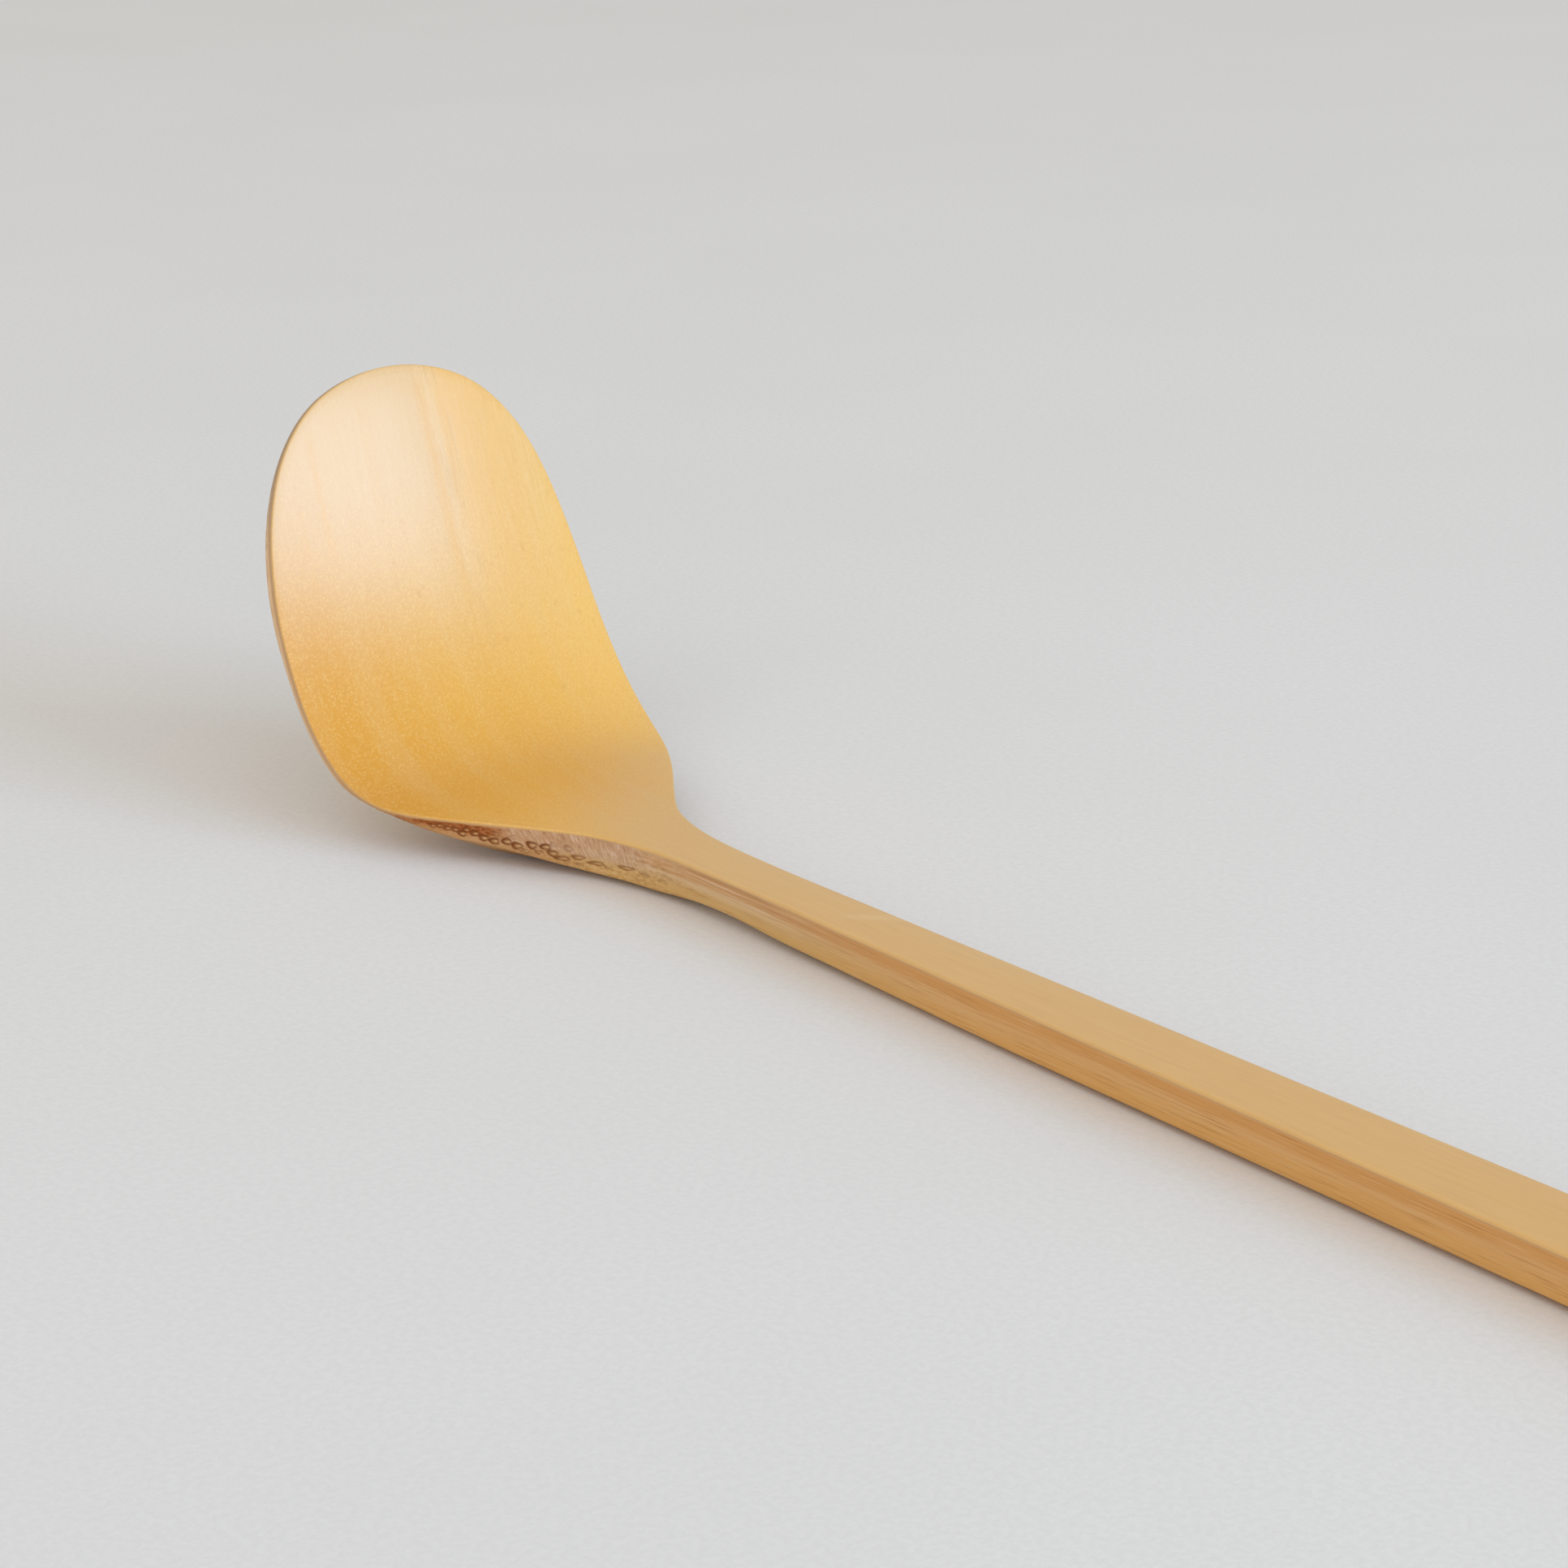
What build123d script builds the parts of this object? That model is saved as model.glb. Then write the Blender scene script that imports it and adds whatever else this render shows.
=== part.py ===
from build123d import *
import os
import numpy as np

# Bamboo tea scoop: one strip split from a culm, carved and heat-bent.
# The skin of the culm is the upper face. Three grown layers of the strip are
# kept apart: the glossy skin, the dense fibre layer just under it and the
# paler, coarser layer nearer the hollow of the culm. They meet face to face.
#
# Frame: +X runs along the handle towards the tail, +Z up, the strip is
# symmetric about Y = 0, and it lies on Z = 0. Millimetres.

# ---------------------------------------------------------------- dimensions
STRIP_HEIGHT = 2.76         # handle thickness, table to skin
TAIL_X = 90.0               # cut end of the handle
BEND_START_X = -72.21       # straight handle line ends here and the bend begins
TIP_ARC = 30.15             # length of bend and blade along the face, to the tip
CULM_RADIUS = 60.0          # crosswise crown of the skin
SKIN_DEPTH = 0.20           # thickness of the skin layer
DENSE_DEPTH = 1.25          # depth below the face where the dense layer ends
TAIL_CHAMFER = 0.35         # broken edge at the tail

# slope of the face in degrees, by arc length from BEND_START_X to the tip
BEND_ARC = [0.0, 2.0, 4.0, 6.0, 8.0, 10.0, 13.0, 17.0, 22.0, 26.5, 31.0]
BEND_DEG = [0.0, 0.5, 9.0, 23.0, 35.5, 45.0, 56.0, 64.0, 71.0, 74.5, 75.5]

# half width of the face, by distance from the tip along the face
WIDTH_D = [0.0, 0.5, 1.4, 2.6, 4.0, 5.5, 7.0, 9.0, 11.0, 13.5, 16.0, 18.8, 21.0,
           23.0, 24.5, 26.0, 27.7, 29.3, 31.0, 32.5, 34.0, 35.3, 36.6, 38.5, 41.0,
           44.0, 47.6, 53.0, 60.0, 70.0, 80.0, 90.0, 100.0, 120.0, 150.0, 193.0]
HALF_WIDTH = [0.0, 3.18, 5.15, 6.61, 7.72, 8.55, 9.13, 9.67, 10.03, 10.31, 10.43, 10.49, 10.44,
              10.30, 10.04, 9.56, 8.68, 7.68, 6.52, 5.46, 4.43, 3.60, 2.98, 2.38, 1.94,
              1.76, 1.70, 1.76, 1.85, 2.01, 2.13, 2.25, 2.38, 2.62, 2.86, 3.10]

# depth of the upright side, of the turned-under facet below it and of the underside
# at the centre line, all below the edge line, by distance from the tip
EDGE_D = [0.0, 2.5, 5.5, 8.5, 11.0, 14.0, 17.0, 20.0, 22.5, 23.5, 24.5, 25.2, 26.0, 27.0, 28.0, 29.0, 30.0, 31.0,
          32.0, 33.0, 34.0, 35.0, 36.0, 37.0, 38.0, 40.0, 41.0, 42.0, 43.0, 44.0, 46.0, 48.0, 50.0, 52.0, 54.0, 58.0,
          62.0, 66.0, 72.0, 193.0]
EDGE_T = [0.52, 0.54, 0.63, 0.83, 0.92, 0.85, 0.72, 0.66, 0.58, 0.50, 0.39, 0.33, 0.34, 0.48, 0.75, 1.00, 1.22, 1.35,
          1.51, 1.72, 1.94, 2.13, 2.26, 2.32, 2.35, 2.37, 2.32, 2.23, 2.14, 2.06, 2.01, 2.05, 2.15, 2.20, 2.22, 2.27,
          2.32, 2.36, 2.37, 2.36]
HULL_D = [0.0, 2.5, 5.5, 8.5, 11.0, 14.0, 17.0, 20.0, 22.5, 23.5, 24.5, 25.5, 26.5, 27.5, 28.5, 29.5, 30.5, 31.5, 32.5, 40.0, 41.0,
          42.0, 43.0, 44.0, 46.0, 48.0, 50.0, 52.0, 54.0, 58.0, 62.0, 193.0]
HULL_N = [0.62, 0.64, 0.73, 0.93, 1.02, 0.95, 0.82, 0.76, 0.70, 0.68, 0.74, 0.90, 1.14, 1.46, 1.84, 2.20, 2.49, 2.61, 2.64, 2.62, 2.57,
          2.45, 2.36, 2.28, 2.20, 2.20, 2.28, 2.34, 2.38, 2.42, 2.45, 2.46]
BASE_D = [0.0, 2.5, 5.5, 8.5, 11.0, 14.0, 17.0, 20.0, 22.5, 23.5, 24.5, 25.5, 26.5, 27.5, 28.5, 29.5, 30.5, 31.5, 32.5, 40.0, 41.0,
          42.0, 43.0, 44.0, 46.0, 48.0, 50.0, 52.0, 54.0, 58.0, 62.0, 66.0, 193.0]
BASE_N = [0.62, 0.42, 0.30, 0.33, 0.32, 0.26, 0.22, 0.22, 0.28, 0.36, 0.54, 0.84, 1.20, 1.58, 1.98, 2.38, 2.70, 2.85, 2.88, 2.88, 2.82,
          2.68, 2.54, 2.44, 2.36, 2.38, 2.51, 2.62, 2.70, 2.80, 2.86, 2.88, 2.88]

# inward lean per mm of depth, of the upright side and of the facet below it: a small
# chamfer on the blade, the hull of the keel under the bend, a low chamfer on the handle
LEAN_D = [0.0, 21.0, 23.0, 25.0, 40.0, 42.0, 46.0, 54.0, 62.0, 193.0]
SIDE_LEAN = [0.03, 0.03, 0.06, 0.14, 0.14, 0.13, 0.10, 0.08, 0.07, 0.07]
TURN_D = [0.0, 21.5, 23.5, 25.0, 27.0, 29.0, 30.0, 31.0, 32.0, 33.0, 34.0, 35.0, 36.0, 37.0, 38.0, 39.0, 41.0, 46.0, 54.0, 193.0]
TURN_LEAN = [1.0, 1.0, 1.4, 1.9, 2.02, 2.10, 2.10, 2.12, 2.25, 2.45, 2.65, 2.85, 3.00, 3.00, 3.00, 2.85, 2.20, 1.90, 1.90, 1.90]


# ---------------------------------------------------------------- smooth tables
def pchip(xk, yk):
    xk, yk = np.array(xk, float), np.array(yk, float)
    h, dl = np.diff(xk), np.diff(yk) / np.diff(xk)
    m = np.zeros(len(xk))
    for i in range(1, len(xk) - 1):
        if dl[i - 1] * dl[i] > 0:
            w1, w2 = 2 * h[i] + h[i - 1], h[i] + 2 * h[i - 1]
            m[i] = (w1 + w2) / (w1 / dl[i - 1] + w2 / dl[i])
    m[0], m[-1] = dl[0], dl[-1]

    def value(x):
        x = np.clip(x, xk[0], xk[-1])
        i = np.clip(np.searchsorted(xk, x, side="right") - 1, 0, len(xk) - 2)
        t = (x - xk[i]) / h[i]
        return ((2 * t**3 - 3 * t**2 + 1) * yk[i] + (t**3 - 2 * t**2 + t) * h[i] * m[i]
                + (-2 * t**3 + 3 * t**2) * yk[i + 1] + (t**3 - t**2) * h[i] * m[i + 1])
    return value


def natural_cubic(xk, yk):
    xk, yk = np.array(xk, float), np.array(yk, float)
    n, h = len(xk), np.diff(xk)
    a, b = np.eye(n), np.zeros(n)
    for i in range(1, n - 1):
        a[i, i - 1:i + 2] = h[i - 1], 2 * (h[i - 1] + h[i]), h[i]
        b[i] = 6 * ((yk[i + 1] - yk[i]) / h[i] - (yk[i] - yk[i - 1]) / h[i - 1])
    c = np.linalg.solve(a, b)

    def value(x):
        x = np.clip(x, xk[0], xk[-1])
        i = np.clip(np.searchsorted(xk, x, side="right") - 1, 0, n - 2)
        p, q = xk[i + 1] - x, x - xk[i]
        return ((c[i] * p**3 + c[i + 1] * q**3) / (6 * h[i])
                + (yk[i] / h[i] - c[i] * h[i] / 6) * p + (yk[i + 1] / h[i] - c[i + 1] * h[i] / 6) * q)
    return value


slope = pchip(BEND_ARC, np.radians(BEND_DEG))
width_sq = natural_cubic(WIDTH_D, np.array(HALF_WIDTH) ** 2)
edge_t = pchip(EDGE_D, EDGE_T)
base_n = pchip(BASE_D, BASE_N)
hull_n = pchip(HULL_D, HULL_N)
side_lean = pchip(LEAN_D, SIDE_LEAN)
turn_lean = pchip(TURN_D, TURN_LEAN)

ARC = np.linspace(0.0, BEND_ARC[-1], 3101)
PSI = slope(ARC)
STEP = ARC[1] - ARC[0]
PX = BEND_START_X - np.concatenate([[0], np.cumsum((np.cos(PSI[1:]) + np.cos(PSI[:-1])) / 2 * STEP)])
PZ = STRIP_HEIGHT + np.concatenate([[0], np.cumsum((np.sin(PSI[1:]) + np.sin(PSI[:-1])) / 2 * STEP)])


def station(d):
    """Edge line of the face at distance d from the tip: x, z, slope."""
    a = TIP_ARC - d
    if a <= 0:
        return BEND_START_X - a, STRIP_HEIGHT, 0.0
    return float(np.interp(a, ARC, PX)), float(np.interp(a, ARC, PZ)), float(np.interp(a, ARC, PSI))


def place(d, pts):
    """Points (y, n) of the cross-section at d, n along the face's normal."""
    x, z, psi = station(d)
    return [Vector(x + n * np.sin(psi), y, z + n * np.cos(psi)) for y, n in pts]


def crown(d, y, depth):
    """Height of the surface that lies the given depth under the face."""
    w2 = float(width_sq(d))
    return (w2 - y * y) / (2 * CULM_RADIUS) - depth


def side_y(d, depth):
    return float(np.sqrt(max(width_sq(d), 0.0))) - float(side_lean(d)) * depth


def arch(d, y, depth):
    """Control points of the crowned line from -y to +y at a depth."""
    end = crown(d, y, depth)
    top = crown(d, 0.0, depth)
    return [(-y, end), (0.0, 2 * top - end), (y, end)]


def layer_wire(d, depth_top, depth_end):
    ya, yb = side_y(d, depth_top), side_y(d, depth_end)
    a = place(d, arch(d, ya, depth_top))
    b = place(d, arch(d, yb, depth_end))
    return Wire([Edge.make_bezier(*a), Edge.make_line(a[2], b[2]),
                 Edge.make_bezier(*reversed(b)), Edge.make_line(b[0], a[0])])


def under_points(d):
    """Lower corner of the side, then control points of the underside, from +y to -y."""
    t, nb, nc = float(edge_t(d)), -float(hull_n(d)), -float(base_n(d))
    ye = side_y(d, t)
    yb = ye - float(turn_lean(d)) * (-nb - t)
    na = nc + 0.25 * (nb - nc)
    n0 = (16 * nc - 2 * nb - 8 * na) / 6.0
    return (ye, -t), [(yb, nb), (0.6 * yb, na), (0.0, n0), (-0.6 * yb, na), (-yb, nb)]


def core_wire(d):
    """Everything under the skin: crowned top, upright sides, turned-under facets, underside."""
    a = place(d, arch(d, side_y(d, SKIN_DEPTH), SKIN_DEPTH))
    (ye, ne), under = under_points(d)
    c = place(d, [(ye, ne), (-ye, ne)])
    u = place(d, under)
    return Wire([Edge.make_bezier(*a), Edge.make_line(a[2], c[0]), Edge.make_line(c[0], u[0]),
                 Edge.make_bezier(*u), Edge.make_line(u[4], c[1]), Edge.make_line(c[1], a[0])])


def deep_wire(d):
    """The zone deeper than the dense layer, wider and lower than the strip."""
    y = side_y(d, 0.0) + 1.0
    a = place(d, arch(d, y, DENSE_DEPTH))
    low = -5.0
    b = place(d, [(y, low), (-y, low)])
    return Wire([Edge.make_bezier(*a), Edge.make_line(a[2], b[0]),
                 Edge.make_line(b[0], b[1]), Edge.make_line(b[1], a[0])])


# ---------------------------------------------------------------- solids
TAIL_D = TIP_ARC + (TAIL_X - BEND_START_X)
HEAD = [0.02, 0.10, 0.30, 0.65, 1.15, 1.9, 2.8, 4.0, 5.5, 7.2, 9.0, 11.0, 13.0, 15.0, 17.0, 19.0,
        20.7, 22.2, 23.4, 24.4, 25.3, 26.2, 27.2, 28.3, 29.4, 30.6, 32.0, 33.3, 34.6, 36.0, 37.5, 39.2, 41.0,
        43.0, 45.0, 47.5, 50.5, 54.5]
HANDLE = [54.5, 62.0, 75.0, 90.0, 110.0, 130.0, 150.0, 172.0, TAIL_D]


def loft_through(wire, stations):
    return Solid.make_loft([wire(d) for d in stations])


def strip(wire, head=HEAD):
    solid = loft_through(wire, head).fuse(loft_through(wire, HANDLE))
    return solid


def skin_wire(d):
    return layer_wire(d, 0.0, SKIN_DEPTH)


def wedge(p0, p1, p2, plane, half):
    """Three-cornered bar for breaking an edge of the cut end."""
    face = plane * make_face(Polyline(p0, p1, p2, close=True))
    return extrude(face, half, both=True)


table = Box(400, 100, 20, align=(Align.CENTER, Align.CENTER, Align.MAX))
deep = strip(deep_wire, [d for d in HEAD if d > 21.0])

# broken edges around the cut end of the handle
c, e = TAIL_CHAMFER, 1.0
tail_top = STRIP_HEIGHT + crown(TAIL_D, 0.0, 0.0)
tail_y = side_y(TAIL_D, 0.0)
end_cuts = [
    wedge((TAIL_X - c - e, tail_top + e), (TAIL_X + e, tail_top + e), (TAIL_X + e, tail_top - c - e), Plane.XZ, 10),
    wedge((TAIL_X - c - e, -e), (TAIL_X + e, -e), (TAIL_X + e, c + e), Plane.XZ, 10),
    wedge((TAIL_X - c - e, tail_y + e), (TAIL_X + e, tail_y + e), (TAIL_X + e, tail_y - c - e), Plane.XY, 10),
    wedge((TAIL_X - c - e, -tail_y - e), (TAIL_X + e, -tail_y - e), (TAIL_X + e, -tail_y + c + e), Plane.XY, 10),
]

skin = strip(skin_wire)
core = strip(core_wire) - table
outer = core - deep
inner = core & deep

nodes = {"bamboo_skin": skin - end_cuts, "outer_wall": outer - end_cuts, "inner_wall": inner - end_cuts}

os.makedirs("parts", exist_ok=True)
for name, shape in nodes.items():
    solids = shape.solids() if hasattr(shape, "solids") else [shape]
    solids = sorted(solids, key=lambda s: -s.volume)
    body = solids[0]
    body.label = name
    bb = body.bounding_box()
    print(name, len(solids), [round(s.volume, 3) for s in solids[:4]], body.is_valid, bb.min, bb.max)
    export_step(body, f"parts/{name}.step")
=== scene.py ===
import math
import bpy
import numpy as np
from mathutils import Matrix


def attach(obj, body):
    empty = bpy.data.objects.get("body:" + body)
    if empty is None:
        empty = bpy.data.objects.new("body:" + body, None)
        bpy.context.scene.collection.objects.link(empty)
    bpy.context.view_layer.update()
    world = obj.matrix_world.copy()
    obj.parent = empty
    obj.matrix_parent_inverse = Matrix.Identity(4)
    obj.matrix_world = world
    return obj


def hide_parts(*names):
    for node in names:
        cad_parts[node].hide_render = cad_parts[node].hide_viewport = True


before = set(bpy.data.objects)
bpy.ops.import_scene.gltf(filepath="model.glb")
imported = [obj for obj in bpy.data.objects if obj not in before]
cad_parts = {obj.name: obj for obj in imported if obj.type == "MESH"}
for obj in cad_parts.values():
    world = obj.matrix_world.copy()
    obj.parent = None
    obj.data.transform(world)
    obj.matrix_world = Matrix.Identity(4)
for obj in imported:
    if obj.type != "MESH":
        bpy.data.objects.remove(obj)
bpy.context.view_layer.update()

# Bamboo tea scoop. Three grown layers of one strip, each a closed mesh: the
# glossy skin, the dense fibre under it and the paler fibre below that.
# Millimetres here, metres in the meshes. +X to the tail, +Z up.

# ------------------------------------------------------------------ dimensions
STRIP_HEIGHT = 2.76
TAIL_X = 90.0
BEND_START_X = -72.21
TIP_ARC = 30.15
CULM_RADIUS = 60.0
SKIN_DEPTH = 0.20
DENSE_DEPTH = 1.25
TAIL_ROUND = 0.35
CORNER_R = 0.055            # rounding of the skin's edge
EDGE_DROP = 0.02            # the skin rolls off by this much towards its edge
EDGE_REACH = 0.55
INSET = 0.40                # band along the outline where rows follow the outline

BEND_ARC = [0.0, 2.0, 4.0, 6.0, 8.0, 10.0, 13.0, 17.0, 22.0, 26.5, 31.0]
BEND_DEG = [0.0, 0.5, 9.0, 23.0, 35.5, 45.0, 56.0, 64.0, 71.0, 74.5, 75.5]
WIDTH_D = [0.0, 0.5, 1.4, 2.6, 4.0, 5.5, 7.0, 9.0, 11.0, 13.5, 16.0, 18.8, 21.0,
           23.0, 24.5, 26.0, 27.7, 29.3, 31.0, 32.5, 34.0, 35.3, 36.6, 38.5, 41.0,
           44.0, 47.6, 53.0, 60.0, 70.0, 80.0, 90.0, 100.0, 120.0, 150.0, 193.0]
HALF_WIDTH = [0.0, 3.18, 5.15, 6.61, 7.72, 8.55, 9.13, 9.67, 10.03, 10.31, 10.43, 10.49, 10.44,
              10.30, 10.04, 9.56, 8.68, 7.68, 6.52, 5.46, 4.43, 3.60, 2.98, 2.38, 1.94,
              1.76, 1.70, 1.76, 1.85, 2.01, 2.13, 2.25, 2.38, 2.62, 2.86, 3.10]
EDGE_D = [0.0, 2.5, 5.5, 8.5, 11.0, 14.0, 17.0, 20.0, 22.5, 23.5, 24.5, 25.2, 26.0, 27.0, 28.0, 29.0, 30.0, 31.0,
          32.0, 33.0, 34.0, 35.0, 36.0, 37.0, 38.0, 40.0, 41.0, 42.0, 43.0, 44.0, 46.0, 48.0, 50.0, 52.0, 54.0, 58.0,
          62.0, 66.0, 72.0, 193.0]
EDGE_T = [0.52, 0.54, 0.63, 0.83, 0.92, 0.85, 0.72, 0.66, 0.58, 0.50, 0.39, 0.33, 0.34, 0.48, 0.75, 1.00, 1.22, 1.35,
          1.51, 1.72, 1.94, 2.13, 2.26, 2.32, 2.35, 2.37, 2.32, 2.23, 2.14, 2.06, 2.01, 2.05, 2.15, 2.20, 2.22, 2.27,
          2.32, 2.36, 2.37, 2.36]
HULL_D = [0.0, 2.5, 5.5, 8.5, 11.0, 14.0, 17.0, 20.0, 22.5, 23.5, 24.5, 25.5, 26.5, 27.5, 28.5, 29.5, 30.5, 31.5, 32.5, 40.0, 41.0,
          42.0, 43.0, 44.0, 46.0, 48.0, 50.0, 52.0, 54.0, 58.0, 62.0, 193.0]
HULL_N = [0.62, 0.64, 0.73, 0.93, 1.02, 0.95, 0.82, 0.76, 0.70, 0.68, 0.74, 0.90, 1.14, 1.46, 1.84, 2.20, 2.49, 2.61, 2.64, 2.62, 2.57,
          2.45, 2.36, 2.28, 2.20, 2.20, 2.28, 2.34, 2.38, 2.42, 2.45, 2.46]
BASE_D = [0.0, 2.5, 5.5, 8.5, 11.0, 14.0, 17.0, 20.0, 22.5, 23.5, 24.5, 25.5, 26.5, 27.5, 28.5, 29.5, 30.5, 31.5, 32.5, 40.0, 41.0,
          42.0, 43.0, 44.0, 46.0, 48.0, 50.0, 52.0, 54.0, 58.0, 62.0, 66.0, 193.0]
BASE_N = [0.62, 0.42, 0.30, 0.33, 0.32, 0.26, 0.22, 0.22, 0.28, 0.36, 0.54, 0.84, 1.20, 1.58, 1.98, 2.38, 2.70, 2.85, 2.88, 2.88, 2.82,
          2.68, 2.54, 2.44, 2.36, 2.38, 2.51, 2.62, 2.70, 2.80, 2.86, 2.88, 2.88]
LEAN_D = [0.0, 21.0, 23.0, 25.0, 40.0, 42.0, 46.0, 54.0, 62.0, 193.0]
SIDE_LEAN = [0.03, 0.03, 0.06, 0.14, 0.14, 0.13, 0.10, 0.08, 0.07, 0.07]
TURN_D = [0.0, 21.5, 23.5, 25.0, 27.0, 29.0, 30.0, 31.0, 32.0, 33.0, 34.0, 35.0, 36.0, 37.0, 38.0, 39.0, 41.0, 46.0, 54.0, 193.0]
TURN_LEAN = [1.0, 1.0, 1.4, 1.9, 2.02, 2.10, 2.10, 2.12, 2.25, 2.45, 2.65, 2.85, 3.00, 3.00, 3.00, 2.85, 2.20, 1.90, 1.90, 1.90]


def pchip(xk, yk):
    xk, yk = np.array(xk, float), np.array(yk, float)
    h, dl = np.diff(xk), np.diff(yk) / np.diff(xk)
    m = np.zeros(len(xk))
    for i in range(1, len(xk) - 1):
        if dl[i - 1] * dl[i] > 0:
            w1, w2 = 2 * h[i] + h[i - 1], h[i] + 2 * h[i - 1]
            m[i] = (w1 + w2) / (w1 / dl[i - 1] + w2 / dl[i])
    m[0], m[-1] = dl[0], dl[-1]

    def value(x):
        x = np.clip(x, xk[0], xk[-1])
        i = np.clip(np.searchsorted(xk, x, side="right") - 1, 0, len(xk) - 2)
        t = (x - xk[i]) / h[i]
        return ((2 * t**3 - 3 * t**2 + 1) * yk[i] + (t**3 - 2 * t**2 + t) * h[i] * m[i]
                + (-2 * t**3 + 3 * t**2) * yk[i + 1] + (t**3 - t**2) * h[i] * m[i + 1])
    return value


def natural_cubic(xk, yk):
    xk, yk = np.array(xk, float), np.array(yk, float)
    n, h = len(xk), np.diff(xk)
    a, b = np.eye(n), np.zeros(n)
    for i in range(1, n - 1):
        a[i, i - 1:i + 2] = h[i - 1], 2 * (h[i - 1] + h[i]), h[i]
        b[i] = 6 * ((yk[i + 1] - yk[i]) / h[i] - (yk[i] - yk[i - 1]) / h[i - 1])
    c = np.linalg.solve(a, b)

    def value(x):
        x = np.clip(x, xk[0], xk[-1])
        i = np.clip(np.searchsorted(xk, x, side="right") - 1, 0, n - 2)
        p, q = xk[i + 1] - x, x - xk[i]
        return ((c[i] * p**3 + c[i + 1] * q**3) / (6 * h[i])
                + (yk[i] / h[i] - c[i] * h[i] / 6) * p + (yk[i + 1] / h[i] - c[i + 1] * h[i] / 6) * q)
    return value


slope = pchip(BEND_ARC, np.radians(BEND_DEG))
width_sq = natural_cubic(WIDTH_D, np.array(HALF_WIDTH) ** 2)
edge_t = pchip(EDGE_D, EDGE_T)
base_n = pchip(BASE_D, BASE_N)
hull_n = pchip(HULL_D, HULL_N)
side_lean = pchip(LEAN_D, SIDE_LEAN)
turn_lean = pchip(TURN_D, TURN_LEAN)
ARC = np.linspace(0.0, BEND_ARC[-1], 3101)
PSI = slope(ARC)
STEP = ARC[1] - ARC[0]
PX = BEND_START_X - np.concatenate([[0], np.cumsum((np.cos(PSI[1:]) + np.cos(PSI[:-1])) / 2 * STEP)])
PZ = STRIP_HEIGHT + np.concatenate([[0], np.cumsum((np.sin(PSI[1:]) + np.sin(PSI[:-1])) / 2 * STEP)])
TAIL_D = TIP_ARC + (TAIL_X - BEND_START_X)


def station(d):
    """Edge line of the face at distance d from the tip: x, z, slope."""
    a = TIP_ARC - np.asarray(d, float)
    x = np.where(a <= 0, BEND_START_X - a, np.interp(a, ARC, PX))
    z = np.where(a <= 0, STRIP_HEIGHT, np.interp(a, ARC, PZ))
    return x, z, np.where(a <= 0, 0.0, np.interp(a, ARC, PSI))


# ------------------------------------------------------------------ noise
def lattice(ix, iy, iz, seed):
    h = (ix * 73856093) ^ (iy * 19349663) ^ (iz * 83492791) ^ (seed * 40503 + 977)
    h = h & 0x7FFFFFFF
    h = ((h ^ (h >> 15)) * 739982445) & 0x7FFFFFFF
    h = ((h ^ (h >> 12)) * 695872825) & 0x7FFFFFFF
    h = h ^ (h >> 15)
    return h / 0x3FFFFFFF - 1.0


def noise(x, y, z, seed):
    """Smooth lattice noise between -1 and 1."""
    x, y, z = np.broadcast_arrays(*(np.asarray(v, float) for v in (x, y, z)))
    f = [np.floor(v) for v in (x, y, z)]
    i = [v.astype(np.int64) + 4096 for v in f]
    t = [v - w for v, w in zip((x, y, z), f)]
    t = [v * v * v * (v * (v * 6 - 15) + 10) for v in t]
    out = np.zeros(x.shape)
    for a in (0, 1):
        for b in (0, 1):
            for c in (0, 1):
                k = (t[0] if a else 1 - t[0]) * (t[1] if b else 1 - t[1]) * (t[2] if c else 1 - t[2])
                out += k * lattice(i[0] + a, i[1] + b, i[2] + c, seed)
    return out


def step_up(v, a, b):
    t = np.clip((v - a) / (b - a), 0, 1)
    return t * t * (3 - 2 * t)


def band(v, a, b, c, e):
    return step_up(v, a, b) * (1 - step_up(v, c, e))


# ------------------------------------------------------------------ cut bundles
# Where the carved side crosses the vascular bundles they show as small eyelets:
# distance from the tip, depth down the side, half length, half height, strength.
EYELETS_FRONT = [
    (28.62, 0.52, 0.20, 0.13, 0.7), (28.95, 0.46, 0.20, 0.13, 0.7), (29.34, 0.56, 0.22, 0.14, 0.8),
    (29.73, 0.58, 0.22, 0.14, 0.8), (30.03, 0.78, 0.24, 0.15, 1.0), (30.27, 0.54, 0.22, 0.14, 0.8),
    (30.66, 0.70, 0.27, 0.16, 1.0), (31.05, 0.90, 0.27, 0.17, 1.0), (31.53, 1.02, 0.28, 0.18, 1.0),
    (32.13, 0.98, 0.28, 0.18, 1.0), (32.58, 1.16, 0.30, 0.18, 1.0), (33.30, 1.04, 0.29, 0.20, 1.0),
    (33.96, 1.06, 0.30, 0.17, 1.0), (32.94, 1.42, 0.28, 0.09, 0.6), (33.60, 1.38, 0.24, 0.10, 0.7),
    (34.26, 1.38, 0.30, 0.17, 0.9), (34.71, 1.60, 0.44, 0.13, 0.9), (35.07, 1.00, 0.26, 0.16, 0.5),
    (35.55, 1.42, 0.44, 0.12, 0.8), (35.58, 1.82, 0.24, 0.08, 0.6), (36.57, 1.58, 0.58, 0.11, 0.8),
    (37.26, 1.72, 0.28, 0.08, 0.6), (38.52, 1.44, 0.62, 0.11, 0.65), (39.78, 1.54, 0.38, 0.09, 0.5),
    (41.16, 1.56, 0.40, 0.09, 0.35), (34.40, 0.86, 0.22, 0.13, 0.35), (31.65, 0.62, 0.22, 0.12, 0.35),
    (32.45, 0.70, 0.20, 0.12, 0.30)]
rng = np.random.default_rng(7)
EYELETS_BACK = []
for e in EYELETS_FRONT:
    j = rng.normal(0, 1, 3)
    EYELETS_BACK.append((e[0] + 0.28 + 0.12 * j[0], e[1] + 0.05 * j[1], e[2] * (1 + 0.12 * j[2]), e[3], e[4]))
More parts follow.
